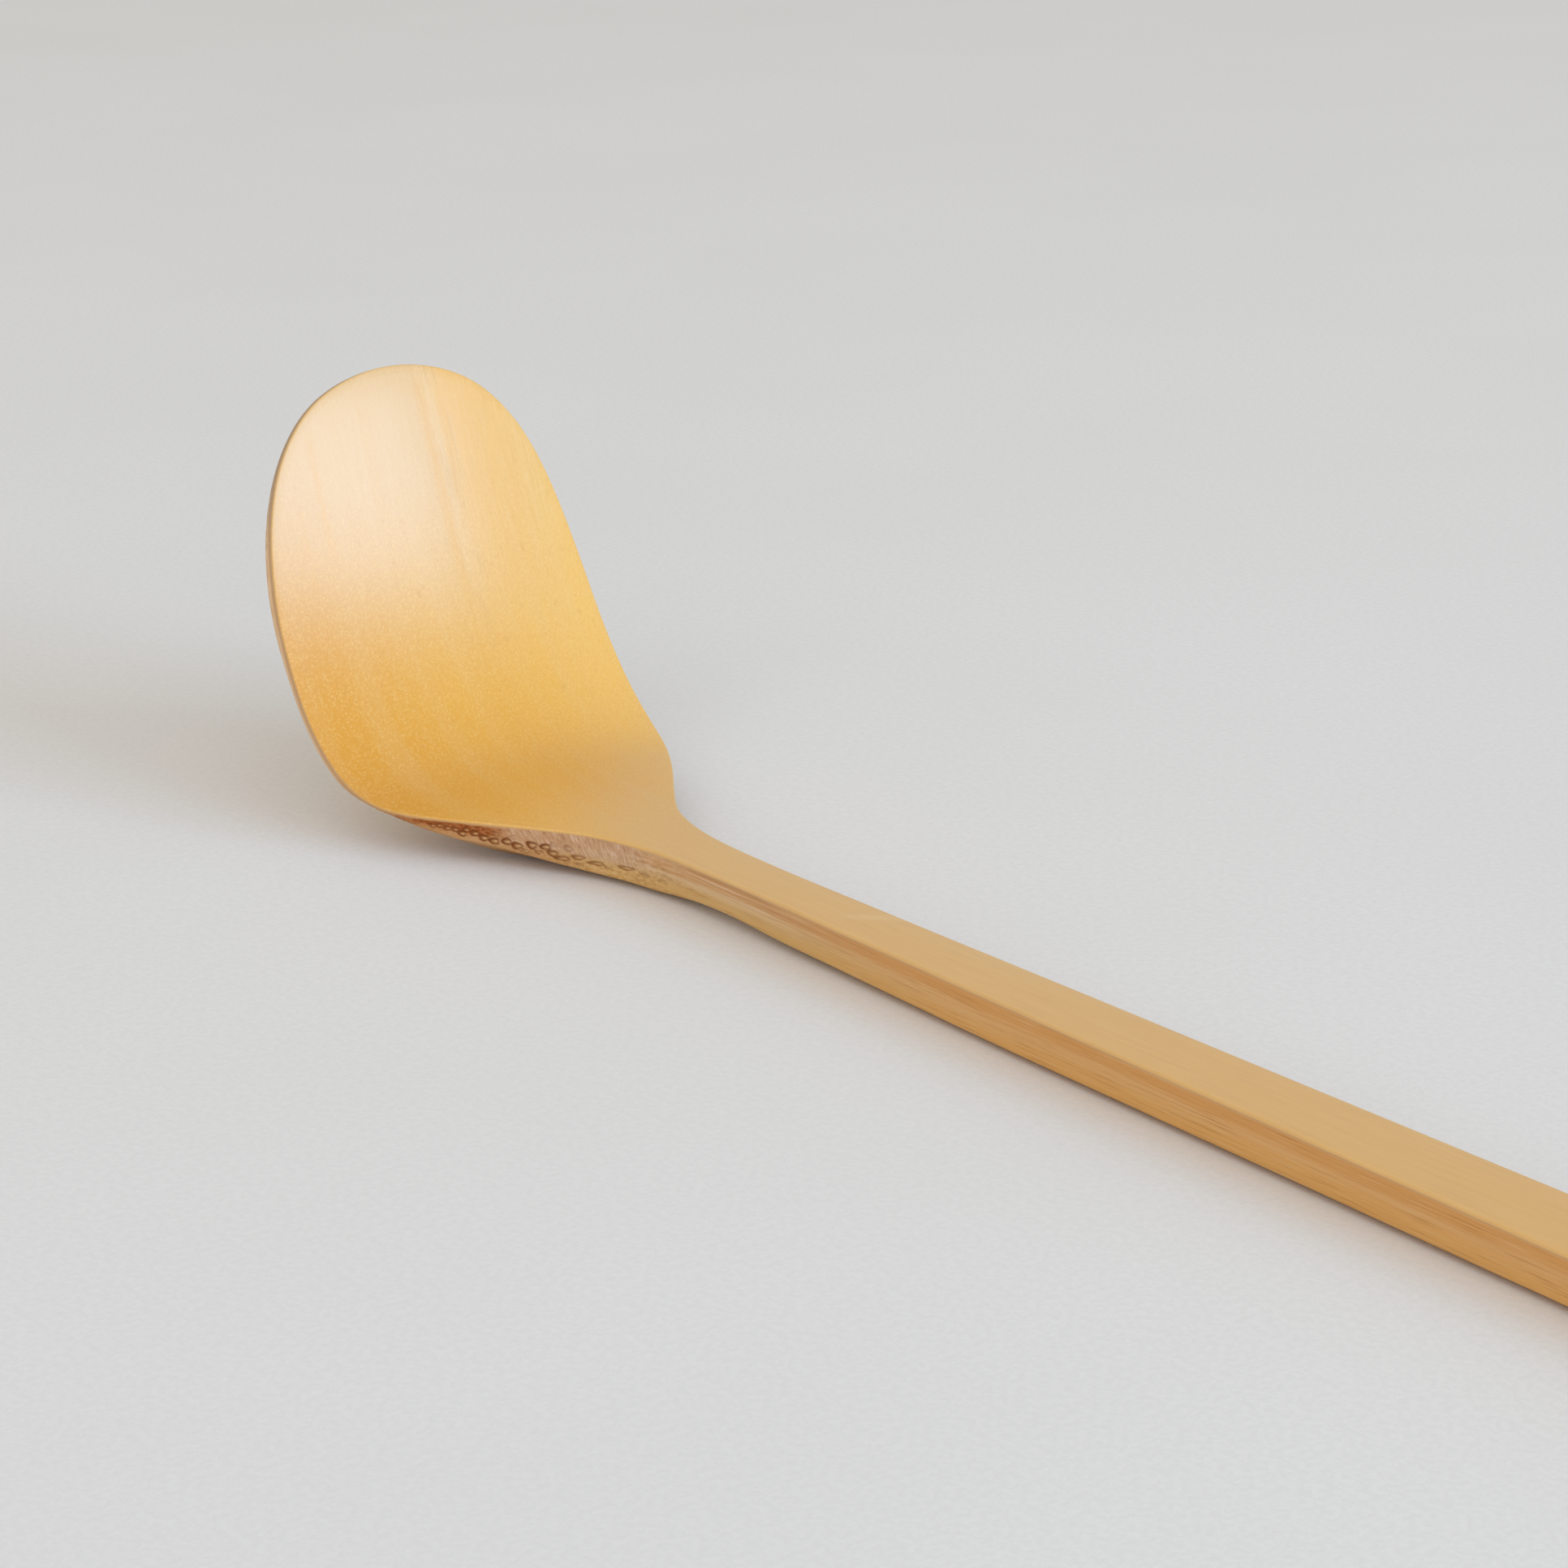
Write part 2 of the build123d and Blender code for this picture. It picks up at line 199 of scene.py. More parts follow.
# the same bundles, met on the hollow underside just behind the keel: d, y, half length, half width, strength
EYELETS_UNDER = []
for i in range(46):
    d_at = 25.2 + 6.6 * rng.random()
    y_at = rng.uniform(-1, 1) * (1.2 + 0.75 * (d_at - 25.2))
    EYELETS_UNDER.append((d_at, y_at, 0.20 + 0.16 * rng.random(), 0.13 + 0.05 * rng.random(), 0.5 + 0.5 * rng.random()))
kept = []
for e in EYELETS_UNDER:
    if all(math.hypot((e[0] - k[0]) / 0.75, (e[1] - k[1]) / 0.5) > 1 for k in kept):
        kept.append(e)
EYELETS_UNDER = kept


def eyelets(u, v, table):
    """Sunk depth (mm), dark ring and pale slit of the cut bundles at surface coordinates u, v; the ring carries painted
    shade in the hollow and on its upper-left side, and the slit is a painted highlight.
    """
    sunk, dark, slit = np.zeros(u.shape), np.zeros(u.shape), np.zeros(u.shape)
    for k, (du, dv, a, b, s) in enumerate(table):
        a, b = 0.98 * a, 1.16 * b
        near = (np.abs(u - du) < 1.7 * a) & (np.abs(v - dv) < 1.7 * b + 0.3 * a)
        if not near.any():
            continue
        x, y = u[near] - du, v[near] - dv
        turn = 0.10 * math.sin(3.1 * k)
        x, y = x * math.cos(turn) + y * math.sin(turn), y * math.cos(turn) - x * math.sin(turn)
        x, y = x / a, y / b
        r = np.sqrt(x * x + y * y) * (1 + 0.09 * np.sin(3 * np.arctan2(y, x) + 1.7 * k))
        inside = np.exp(-(r / 0.92) ** 6)
        groove = np.exp(-((r - 0.80) / 0.20) ** 2)
        lid = inside * np.exp(-((y + 0.36 + 0.22 * x) / 0.30) ** 2)     # hollow under the upper lip, darkened there with painted shade
        lean = np.clip(-(0.90 * x - 0.20 * y) / np.maximum(r, 1e-6), -1, 1)
        plug = np.exp(-((x - 0.20) / 0.36) ** 2 - ((y - 0.06 + 0.15 * x) / 0.24) ** 2)
        sunk[near] = np.maximum(sunk[near], s * (0.016 * inside + 0.020 * groove * (1 + 0.5 * lean) + 0.016 * lid - 0.022 * plug))
        # dark: the bundle's own dark ring, plus painted shade in the hollow and towards the upper left
        dark[near] = np.maximum(dark[near], s * np.clip(0.30 * lid + 0.42 * inside + groove * (0.80 + 0.40 * lean), 0, 1))
        # slit: a painted highlight on the raised plug
        slit[near] = np.maximum(slit[near], s * plug)
    return np.maximum(sunk, 0), dark, slit


# ------------------------------------------------------------------ rows along the strip
def run(a, b, step):
    return list(np.linspace(a, b, max(1, int(round((b - a) / step))), endpoint=False))


ROWS = ([0.0055 * k * k for k in range(20)] + run(2.2, 7.0, 0.22) + run(7.0, 22.0, 0.30) + run(22.0, 27.4, 0.13)
        + run(27.4, 42.4, 0.06) + run(42.4, 52.0, 0.16) + run(52.0, TAIL_D - 1.2, 0.5)
        + run(TAIL_D - 1.2, TAIL_D - TAIL_ROUND, 0.14)
        + [TAIL_D - TAIL_ROUND * (1 - math.sin(t)) for t in np.linspace(0, math.pi / 2, 8)])
D = np.array(ROWS)
K = len(D)
W2 = np.maximum(width_sq(D), 0.0)
W2[0] = 0.0
W = np.maximum(np.sqrt(W2) - 0.005, 0.0)
H = 1e-3
DW2 = (width_sq(np.minimum(D + H, 193.0)) - width_sq(np.maximum(D - H, 0.0))) / (
    np.minimum(D + H, 193.0) - np.maximum(D - H, 0.0))
LEN = np.sqrt(DW2 ** 2 + 4 * W2)
SA, CA = DW2 / LEN, 2 * W / LEN      # direction of the inset from the outline, along d and across

TOP_HALF = 40               # columns from the centre line to the edge of the skin
CORNER_N = 6
BOND_N = 11                 # hidden columns where two layers meet
OUTER_N = 34
FACET_N = 18                # columns from the end of the dense layer to the lower corner of the side
UNDER_N = 30
INNER_N = FACET_N + UNDER_N
FLOOR_N = 13


def in_plan(rho):
    """Distance from the tip and across for points inset by rho (K, M) from the outline, rho up to INSET."""
    return np.minimum(D[:, None] + rho * SA[:, None], TAIL_D - 0.004), W[:, None] - rho * CA[:, None]


def crown(d, y):
    return (np.maximum(width_sq(d), 0.0) - y * y) / (2 * CULM_RADIUS)


def outline_gap(d, y):
    """Distance to the outline of the face, good close to it."""
    dd = (width_sq(np.minimum(d + H, 193.0)) - width_sq(np.maximum(d - H, 0.0))) / (2 * H)
    return np.maximum(width_sq(d) - y * y, 0.0) / np.sqrt(dd * dd + 4 * y * y + 1e-9)


def roll_off(gap):
    return EDGE_DROP * np.clip(1 - gap / EDGE_REACH, 0, 1) ** 2


def skin_wave(d, y):
    """The grown skin is not quite even: broad low waves and narrow ribs along the grain."""
    v = 0.5 * noise(d / 34, y / 2.1, 0, 11) + 0.35 * noise(d / 22, y / 0.95, 0, 12) + 0.15 * noise(d / 6, y / 1.6, 0, 13)
    return 0.0035 * (v - 1.0)


# --- chain of the carved side and underside, from the foot of the skin to the centre line
RHO, DEP = [], []           # inset from the outline and depth below the edge line, per row
ARC_S = []                  # arc length at each chain point
SPLIT = np.zeros(K)         # arc length where the dense layer ends
CHAIN_N = OUTER_N + INNER_N
bs = np.linspace(0, 0.5, 200)
TURN = np.zeros(K)          # arc length at the lower corner of the side
raw = []


def eased(p, q, r, cut_q, cut_r):
    """The corner q between points p and r as a short curve, starting and ending the given lengths away."""
    a = q + (p - q) * cut_q / np.linalg.norm(p - q)
    c = q + (r - q) * cut_r / np.linalg.norm(r - q)
    f = np.linspace(0, 1, 25)[:, None]
    return (1 - f) ** 2 * a + 2 * f * (1 - f) * q + f ** 2 * c


for k in range(K):
    d = D[k]
    w = max(W[k], 8.0) if d < 10 else W[k]
    t, nb, nc = float(edge_t(d)), -float(hull_n(d)), -float(base_n(d))
    ye = w - float(side_lean(d)) * t
    yb = ye - float(turn_lean(d)) * (-nb - t)
    na = nc + 0.25 * (nb - nc)
    n0 = (16 * nc - 2 * nb - 8 * na) / 6.0
    cy, cn = [yb, 0.6 * yb, 0.0, -0.6 * yb, -yb], [nb, na, n0, na, nb]
    weight = [c * bs**i * (1 - bs)**(4 - i) for i, c in enumerate((1, 4, 6, 4, 1))]
    by, bn = sum(v * c for v, c in zip(weight, cy)), sum(v * c for v, c in zip(weight, cn))
    head = np.array([w - float(side_lean(d)) * SKIN_DEPTH, -SKIN_DEPTH])
    chine, sole = np.array([ye, -t]), np.array([yb, nb])
    side_len, hull_len = np.linalg.norm(chine - head), np.linalg.norm(sole - chine)
    soft = min(0.16 if d > 24 else 0.11, 0.8 * side_len)
    curve = eased(head, chine, sole, soft, min(soft, 0.45 * hull_len))
    past = np.array([by[30], bn[30]])
    curve2 = eased(chine, sole, past, min(0.12, 0.45 * hull_len), 0.9 * np.linalg.norm(past - sole))
    straight = head + (curve[0] - head) * np.linspace(0, 1, 40)[:-1, None]
    hull = curve[-1] + (curve2[0] - curve[-1]) * np.linspace(0, 1, 40)[1:-1, None]
    pts = np.concatenate([straight, curve, hull, curve2, np.stack([by[31:], bn[31:]], -1)])
    y, n = pts[:, 0], pts[:, 1]
    y[-1] = 0.0
    s = np.concatenate([[0], np.cumsum(np.hypot(np.diff(y), np.diff(n)))])
    TURN[k] = s[len(straight) + 24]
    below = (w * w - y * y) / (2 * CULM_RADIUS) - n
    raw.append((w, y, n, s, below))

q_gap = np.zeros(K)
for k, (w, y, n, s, below) in enumerate(raw):
    deep = np.nonzero(below > DENSE_DEPTH)[0]
    if len(deep) and D[k] > 20:
        i = max(deep[0], 1)
        f = (DENSE_DEPTH - below[i - 1]) / (below[i] - below[i - 1])
        SPLIT[k] = s[i - 1] + f * (s[i] - s[i - 1])
        q_gap[k] = s[-1] - SPLIT[k]
FIRST_INNER = int(np.nonzero(q_gap > 0.5)[0][0])
share = SPLIT[FIRST_INNER] / raw[FIRST_INNER][3][-1]
for k in range(FIRST_INNER):
    SPLIT[k] = share * raw[k][3][-1]


def graded(n, length, first):
    """n + 1 stops from 0 to length, the first step about as given and wider ones after it."""
    u = np.linspace(0, 1, n + 1)
    c = min(1.0, first * n / max(length, 1e-9))
    return length * (c * u + (1 - c) * u ** 2.6)


CH_RHO, CH_N, CH_S = np.zeros((K, CHAIN_N + 1)), np.zeros((K, CHAIN_N + 1)), np.zeros((K, CHAIN_N + 1))
CH_NR, CH_NN = np.zeros((K, CHAIN_N + 1)), np.zeros((K, CHAIN_N + 1))
CH_F = np.zeros((K, CHAIN_N + 1))
for k, (w, y, n, s, below) in enumerate(raw):
    sq = SPLIT[k]
    mid = max(TURN[k], sq + 0.30 * (s[-1] - sq))
    at = np.concatenate([graded(OUTER_N, sq, 0.05), np.linspace(sq, mid, FACET_N + 1)[1:],
                         mid + graded(UNDER_N, s[-1] - mid, 0.05)[1:]])
    yy, nn = np.interp(at, s, y), np.interp(at, s, n)
    ty, tn = np.interp(at, s, np.gradient(y, s + np.arange(len(s)) * 1e-9)), np.interp(at, s, np.gradient(n, s + np.arange(len(s)) * 1e-9))
    ln = np.hypot(ty, tn)
    CH_RHO[k], CH_N[k], CH_S[k] = w - yy, nn, at
    CH_NR[k], CH_NN[k] = tn / ln, ty / ln
    CH_F[k] = np.clip((w - yy - INSET) / (w - INSET), 0, 1)


def chain(side):
    """d, y, n and the look attributes of the carved surface on one side of the strip."""
    table = EYELETS_FRONT if side < 0 else EYELETS_BACK
    d0, y0 = in_plan(np.minimum(CH_RHO, INSET))
    y0 = y0 * (1 - CH_F)
    down = (CH_S + SKIN_DEPTH) / 1.07
    away = np.minimum(CH_S / 0.25, 1.0)
    sunk, ring, core_highlight = eyelets(d0, down, table)
    low = step_up(CH_S - TURN[:, None], 0.0, 0.4)
    s2, r2, c2 = eyelets(d0, side * y0, EYELETS_UNDER)
    sunk, ring, core_highlight = np.maximum(sunk * (1 - low), s2 * low), np.maximum(ring * (1 - low), r2 * low), np.maximum(core_highlight * (1 - low), c2 * low)
    fibre = 0.5 * noise(d0 / 9, side * y0 / 0.28, CH_N / 0.22, 21) + 0.5 * noise(d0 / 4, side * y0 / 0.14, CH_N / 0.12, 22)
    facet = noise(d0 / 3.1, side * y0 / 1.7, CH_N / 0.9, 23)
    scrape = band(d0 + 0.3 * noise(d0 / 0.4, down / 0.4, side, 28), 31.0, 32.8, 38.0, 41.0)
    scrape = scrape * step_up(down, 0.08, 0.22) * (1 - step_up(down - 0.09 * np.clip(d0 - 32.0, -1, 4), 0.80, 1.15)) * (1 - low)
    marks = noise((d0 - 0.28 * down) / 0.12, down / 1.3, side * 3.0, 24)
    sink = away * (sunk + 0.006 * (1 + fibre) + 0.012 * (1 + facet) * low + 0.004 * scrape * (1 + marks))
    rho = CH_RHO - sink * CH_NR
    n = CH_N - sink * CH_NN
    d1, y1 = in_plan(np.minimum(rho, INSET))
    y1 = y1 * (1 - CH_F)
    at = down + 0.05 * noise(d0 / 0.45, down / 0.5, side, 25)
    burn = band(d0 + 0.25 * noise(d0 / 0.5, down / 0.3, side, 27), 26.0, 28.4, 30.9, 32.5)
    burn = burn * step_up(at, 0.20, 0.29) * (1 - step_up(at - 0.10 * np.clip(d0 - 28.4, 0, 2.6), 0.40, 0.66))
    burn = np.clip(burn * (1.25 + 0.40 * noise(d0 / 0.55, down / 0.22, side, 26)), 0, 1)
    if side > 0:
        burn = burn * 0.7
    return {"d": d1, "y": side * y1, "n": n, "ring": ring, "core_highlight": core_highlight, "scrape": scrape, "burn": burn}


def to_space(d, y, n):
    """Vertex positions in millimetres, the tail rounded and nothing below the table."""
    x0, z0, psi = station(d)
    x, z = x0 + n * np.sin(psi), z0 + n * np.cos(psi)
    end = np.clip(TAIL_D - D, 0, TAIL_ROUND)[:, None]
    cut = TAIL_ROUND - np.sqrt(np.maximum(TAIL_ROUND ** 2 - (TAIL_ROUND - end) ** 2, 0))
    z = np.clip(z, 0.0, 23.952)
    y = y * (1 - cut / np.maximum(W[:, None], 1.0))
    mid = STRIP_HEIGHT / 2
    z = np.where(cut > 0, mid + (z - mid) * (1 - cut / mid), z)
    return np.stack([x, y, z], -1)


def bond(depth_left, depth_right):
    """Straight-columned hidden arc between two (d, y, n) edges, following the crown."""
    f = np.linspace(0, 1, BOND_N + 2)[1:-1][None, :]
    d = depth_left["d"][:, None] * (1 - f) + depth_right["d"][:, None] * f
    y = depth_left["y"][:, None] * (1 - f) + depth_right["y"][:, None] * f
    lift = (depth_left["y"] ** 2)[:, None] - y * y
    n = depth_left["n"][:, None] * (1 - f) + depth_right["n"][:, None] * f + lift / (2 * CULM_RADIUS)
    return {"d": d, "y": y, "n": n}


LEFT, RIGHT = chain(-1), chain(+1)
EXTRA = ("ring", "core_highlight", "scrape", "burn")


def column(part, j):
    return {key: part[key][:, j] for key in ("d", "y", "n")}


# --- skin: crowned top, rounded edges, foot of the skin
frac = np.linspace(0, 1, TOP_HALF + 1)
frac = 1 - (1 - frac) ** 1.35                 # finer towards the edge
pd, py = in_plan(np.full((K, 1), INSET))
top_y = np.concatenate([-frac[::-1], frac[1:]])[None, :] * py
top_d = np.repeat(pd, top_y.shape[1], 1)
top_n = crown(top_d, top_y) - roll_off(outline_gap(top_d, top_y)) + skin_wave(top_d, top_y) - 0.004

inner_rho = np.linspace(INSET, CORNER_R, 5)[1:]
ang = np.linspace(0, math.pi / 2, CORNER_N)[1:]
edge_rho = np.concatenate([inner_rho, CORNER_R * (1 - np.sin(ang))])
edge_drop = np.concatenate([0 * inner_rho, CORNER_R * (1 - np.cos(ang))])


def skin_edge(side):
    rho = np.repeat(edge_rho[None, :], K, 0)
    d, y = in_plan(rho)
    lift = np.maximum(width_sq(d) - y * y, 0) / (2 * CULM_RADIUS)
    fade = np.clip(rho / INSET, 0, 1)
    n = lift - roll_off(rho) - edge_drop[None, :] + skin_wave(d, side * y) * fade - 0.004
    foot = LEFT if side < 0 else RIGHT
    return {"d": np.concatenate([d, foot["d"][:, :1]], 1),
            "y": np.concatenate([side * y, foot["y"][:, :1]], 1),
            "n": np.concatenate([n, foot["n"][:, :1]], 1)}


SE_L, SE_R = skin_edge(-1), skin_edge(+1)


def joined(parts):
    return {key: np.concatenate([p[key] for p in parts], 1) for key in ("d", "y", "n")}


def flipped(part):
    return {key: value[:, ::-1] for key, value in part.items()}


bond_skin = bond(column(LEFT, 0), column(RIGHT, 0))
bond_deep = bond(column(LEFT, OUTER_N), column(RIGHT, OUTER_N))


# ------------------------------------------------------------------ meshes
STRIPS = [0.0, 40.0, 78.2, 116.4, 154.6]      # the map is cut here along the strip


def bake_map(me, pos, first_row, face_row, face_col, row_of, col_of, groups, caps):
    """Flat map in true proportion: the strip in five lengths, hidden faces small, the ends last."""
    rows, cols = pos.shape[:2]
    across = np.linalg.norm(np.roll(pos, -1, 1) - pos, axis=2)
    arc = np.concatenate([np.zeros((rows, 1)), np.cumsum(across, 1)], 1)
    d_row = D[first_row:]
    strip_of = np.searchsorted(STRIPS, d_row + 1e-6) - 1
    place, v = {}, 0.3
    for s in range(len(STRIPS)):
        near = np.nonzero(strip_of == s)[0]
        if not len(near):
            continue
        near = np.append(near, min(near[-1] + 1, rows - 1))
        for g, (a, b, shown) in enumerate(groups):
            k = 1.0 if shown is True or (shown == "head" and s == 0) else 0.04
            wide = k * (arc[near, b] - arc[near, a]).max()
            place[s, g] = (v + wide / 2, k, d_row[near[0]])
            v += wide + 0.3
    group_of = np.zeros(cols, int)
    for g, (a, b, shown) in enumerate(groups):
        group_of[a:b] = g
    total = len(me.loops)
    vert = np.zeros(total, np.int32)
    me.loops.foreach_get("vertex_index", vert)
    uv = np.zeros((total, 2))
    start = np.array([q.loop_start for q in me.polygons])
    count = np.array([q.loop_total for q in me.polygons])
    owner = np.repeat(np.arange(len(start)), count)
    n = len(face_row)
    body = owner < n
    fr, fc = face_row[owner[body]], face_col[owner[body]]
    lr, lc = row_of[vert[body]], col_of[vert[body]]
    lc = np.where((fc == cols - 1) & (lc == 0), cols, lc)
    lc = np.where(lr == 0, np.clip(lc, fc, fc + 1), lc)
    s, g = strip_of[fr], group_of[fc]
    base = np.array([[place.get((i, j), (0, 0.04, 0)) for j in range(len(groups))] for i in range(len(STRIPS))])
    mid, k, d0 = base[s, g, 0], base[s, g, 1], base[s, g, 2]
    ga, gb = np.array([q[0] for q in groups])[g], np.array([q[1] for q in groups])[g]
    local = arc[lr, lc] - 0.5 * (arc[lr, ga] + arc[lr, gb])
    uv[body] = np.stack([0.3 + k * (d_row[lr] - d0), mid + k * local], -1)
    for i in range(n, len(start)):
        at = slice(start[i], start[i] + count[i])
        q = pos[row_of[vert[at]], col_of[vert[at]]]
        k = 1.0 if i == caps else 0.04
        flat = k * (q[:, 1:] - q[:, 1:].min(0))
        uv[at] = flat + (0.3, v)
        v += flat[:, 1].max() + 0.3
    uv /= max(v, 40.8)
    layer = me.uv_layers.new(name="OFBake")
    layer.data.foreach_set("uv", uv.astype(np.float32).ravel())


def build(name, ring, extra, sharp_columns, groups, first_row=0, weld_tip=False):
    """Closed mesh from a ring of columns on rows first_row to the tail."""
    d, y, n = (ring[key][first_row:] for key in ("d", "y", "n"))
    pos = to_space(ring["d"], ring["y"], ring["n"])[first_row:]
    rows, cols = d.shape
    ids = np.arange(rows * cols).reshape(rows, cols)
    if weld_tip:
        flat = np.round(pos[0] * 1e5).astype(np.int64)
        seen = {}
        for j in range(cols):
            ids[0, j] = seen.setdefault(tuple(flat[j]), ids[0, j])
    a, b = ids[:-1], np.roll(ids[:-1], -1, 1)
    c, e = np.roll(ids[1:], -1, 1), ids[1:]
    quads = np.stack([a, b, c, e], -1)
    start = 1 if weld_tip else 0
    plain = quads[start:].reshape(-1, 4)
    odd, tip_cols = [], []
    for j, q in enumerate(quads[:start].reshape(-1, 4)):
        f = [int(v) for i, v in enumerate(q) if v != q[i - 1]]
        if len(set(f)) >= 3:
            odd.append(f)
            tip_cols.append(j)
    odd.append([int(v) for v in ids[-1][::-1]])
    if not weld_tip:
        odd.append([int(v) for v in ids[0]])
    used = np.unique(np.concatenate([plain.ravel()] + [np.array(f) for f in odd]))
    back = -np.ones(rows * cols, np.int64)
    back[used] = np.arange(len(used))
    verts = pos.reshape(-1, 3)[used] * 0.001
    plain = back[plain]
    odd = [[int(back[v]) for v in f] for f in odd]
    # outward faces
    tri = np.concatenate([plain[:, [0, 1, 2]], plain[:, [0, 2, 3]]]
                         + [np.array([[f[0], f[i], f[i + 1]] for i in range(1, len(f) - 1)]) for f in odd])
    p0, p1, p2 = verts[tri[:, 0]], verts[tri[:, 1]], verts[tri[:, 2]]
    faces = plain.tolist() + odd
    if (p0 * np.cross(p1, p2)).sum() < 0:
        faces = [f[::-1] for f in faces]
    me = bpy.data.meshes.new(name)
    me.from_pydata(verts.tolist(), [], faces)
    me.validate()
    grain = np.stack([d, y, np.maximum(crown(d, y) - n, 0.0)], -1).reshape(-1, 3)[used]
    at = me.attributes.new("grain", "FLOAT_VECTOR", "POINT")
    at.data.foreach_set("vector", grain.astype(np.float32).ravel())
    for key, value in extra.items():
        at = me.attributes.new(key, "FLOAT", "POINT")
        at.data.foreach_set("value", value[first_row:].reshape(-1)[used].astype(np.float32))
    col_of = np.tile(np.arange(cols), rows)[used]
    row_of = np.repeat(np.arange(rows), cols)[used]
    ev = np.zeros(len(me.edges) * 2, np.int32)
    me.edges.foreach_get("vertices", ev)
    ev = ev.reshape(-1, 2)
    sharp = np.isin(col_of[ev[:, 0]], sharp_columns) & (col_of[ev[:, 0]] == col_of[ev[:, 1]])
    sharp |= (row_of[ev] == rows - 1).all(1)
    if not weld_tip:
        sharp |= (row_of[ev] == 0).all(1)
    at = me.attributes.new("sharp_edge", "BOOLEAN", "EDGE")
    at.data.foreach_set("value", sharp)
    me.shade_smooth()
    at = me.attributes.get("sharp_edge")
    if at is None:
        at = me.attributes.new("sharp_edge", "BOOLEAN", "EDGE")
    at.data.foreach_set("value", sharp)
    tail = max((i for i in range(len(plain), len(me.polygons))), key=lambda i: me.polygons[i].center.x)
    me.polygons[tail].material_index = 1
    me.polygons[tail].use_smooth = False
    assert len(me.polygons) == len(faces)
    face_row = np.concatenate([np.repeat(np.arange(start, rows - 1), cols), np.zeros(len(tip_cols), int)])
    face_col = np.concatenate([np.tile(np.arange(cols), rows - 1 - start), np.array(tip_cols, int)])
    bake_map(me, pos, first_row, face_row, face_col, row_of, col_of, groups, tail)
    ob = bpy.data.objects.new(name, me)
    bpy.context.scene.collection.objects.link(ob)
    return ob


def zeros_like(part):
    return np.zeros(part["d"].shape)


top = {"d": top_d, "y": top_y, "n": top_n}
skin_ring = joined([top, SE_R, flipped(bond_skin), flipped(SE_L)])
foot_r = top_y.shape[1] + SE_R["d"].shape[1] - 1
cols = skin_ring["d"].shape[1]
# the ring starts at the left of the top; its last columns are the left edge of the skin
skin_ring = {key: np.roll(skin_ring[key], SE_L["d"].shape[1], 1) for key in ("d", "y", "n")}
foot_r += SE_L["d"].shape[1]
skin = build("scoop_skin", skin_ring, {}, [foot_r, 0], [(0, foot_r, True), (foot_r, cols, False)], weld_tip=True)

# outer: bond under the skin, right side down, underside or bond to the inner layer, left side up
lo = {key: LEFT[key][:, :OUTER_N + 1] for key in LEFT}
ro = {key: RIGHT[key][:, :OUTER_N + 1] for key in RIGHT}
li = {key: LEFT[key][:, OUTER_N:] for key in LEFT}
ri = {key: RIGHT[key][:, OUTER_N:] for key in RIGHT}
pick = np.unique(np.round(np.linspace(0, INNER_N, (BOND_N + 1) // 2 + 1)).astype(int))
half = pick[1:-1]
floor_arc = {key: np.concatenate([ri[key][:, half], ri[key][:, INNER_N:INNER_N + 1], li[key][:, half[::-1]]], 1)
             for key in ri}
assert floor_arc["d"].shape[1] == BOND_N, (floor_arc["d"].shape, BOND_N)
back_bond = flipped(bond_deep)
is_floor = (np.arange(K) < FIRST_INNER)[:, None]
under = {key: np.where(is_floor, floor_arc[key], back_bond[key]) for key in ("d", "y", "n")}
outer_ring = joined([bond_skin, ro, under, flipped(lo)])
outer_extra = {}
for key in EXTRA:
    mid = np.where(is_floor, floor_arc[key], 0.0)
    outer_extra[key] = np.concatenate([zeros_like(bond_skin), ro[key], mid, lo[key][:, ::-1]], 1)
c0 = BOND_N
c1 = c0 + OUTER_N
c2 = c1 + BOND_N + 1
c3 = c2 + OUTER_N
outer = build("scoop_outer_wall", outer_ring, outer_extra, [c0, c1, c2, c3],
              [(0, c0, False), (c0, c1, True), (c1, c2, "head"), (c2, c3, True), (c3, c3 + 1, False)], weld_tip=True)

# inner: bond to the dense layer, right side and underside to the centre, left side back up
inner_ring = joined([bond_deep, ri, flipped({key: li[key][:, :-1] for key in ("d", "y", "n")})])
inner_extra = {key: np.concatenate([zeros_like(bond_deep), ri[key], li[key][:, :-1][:, ::-1]], 1) for key in EXTRA}
c4 = BOND_N
c5 = inner_ring["d"].shape[1] - 1
inner = build("scoop_inner_wall", inner_ring, inner_extra, [c4, c5],
              [(0, c4, False), (c4, c5, True), (c5, c5 + 1, False)], first_row=FIRST_INNER)


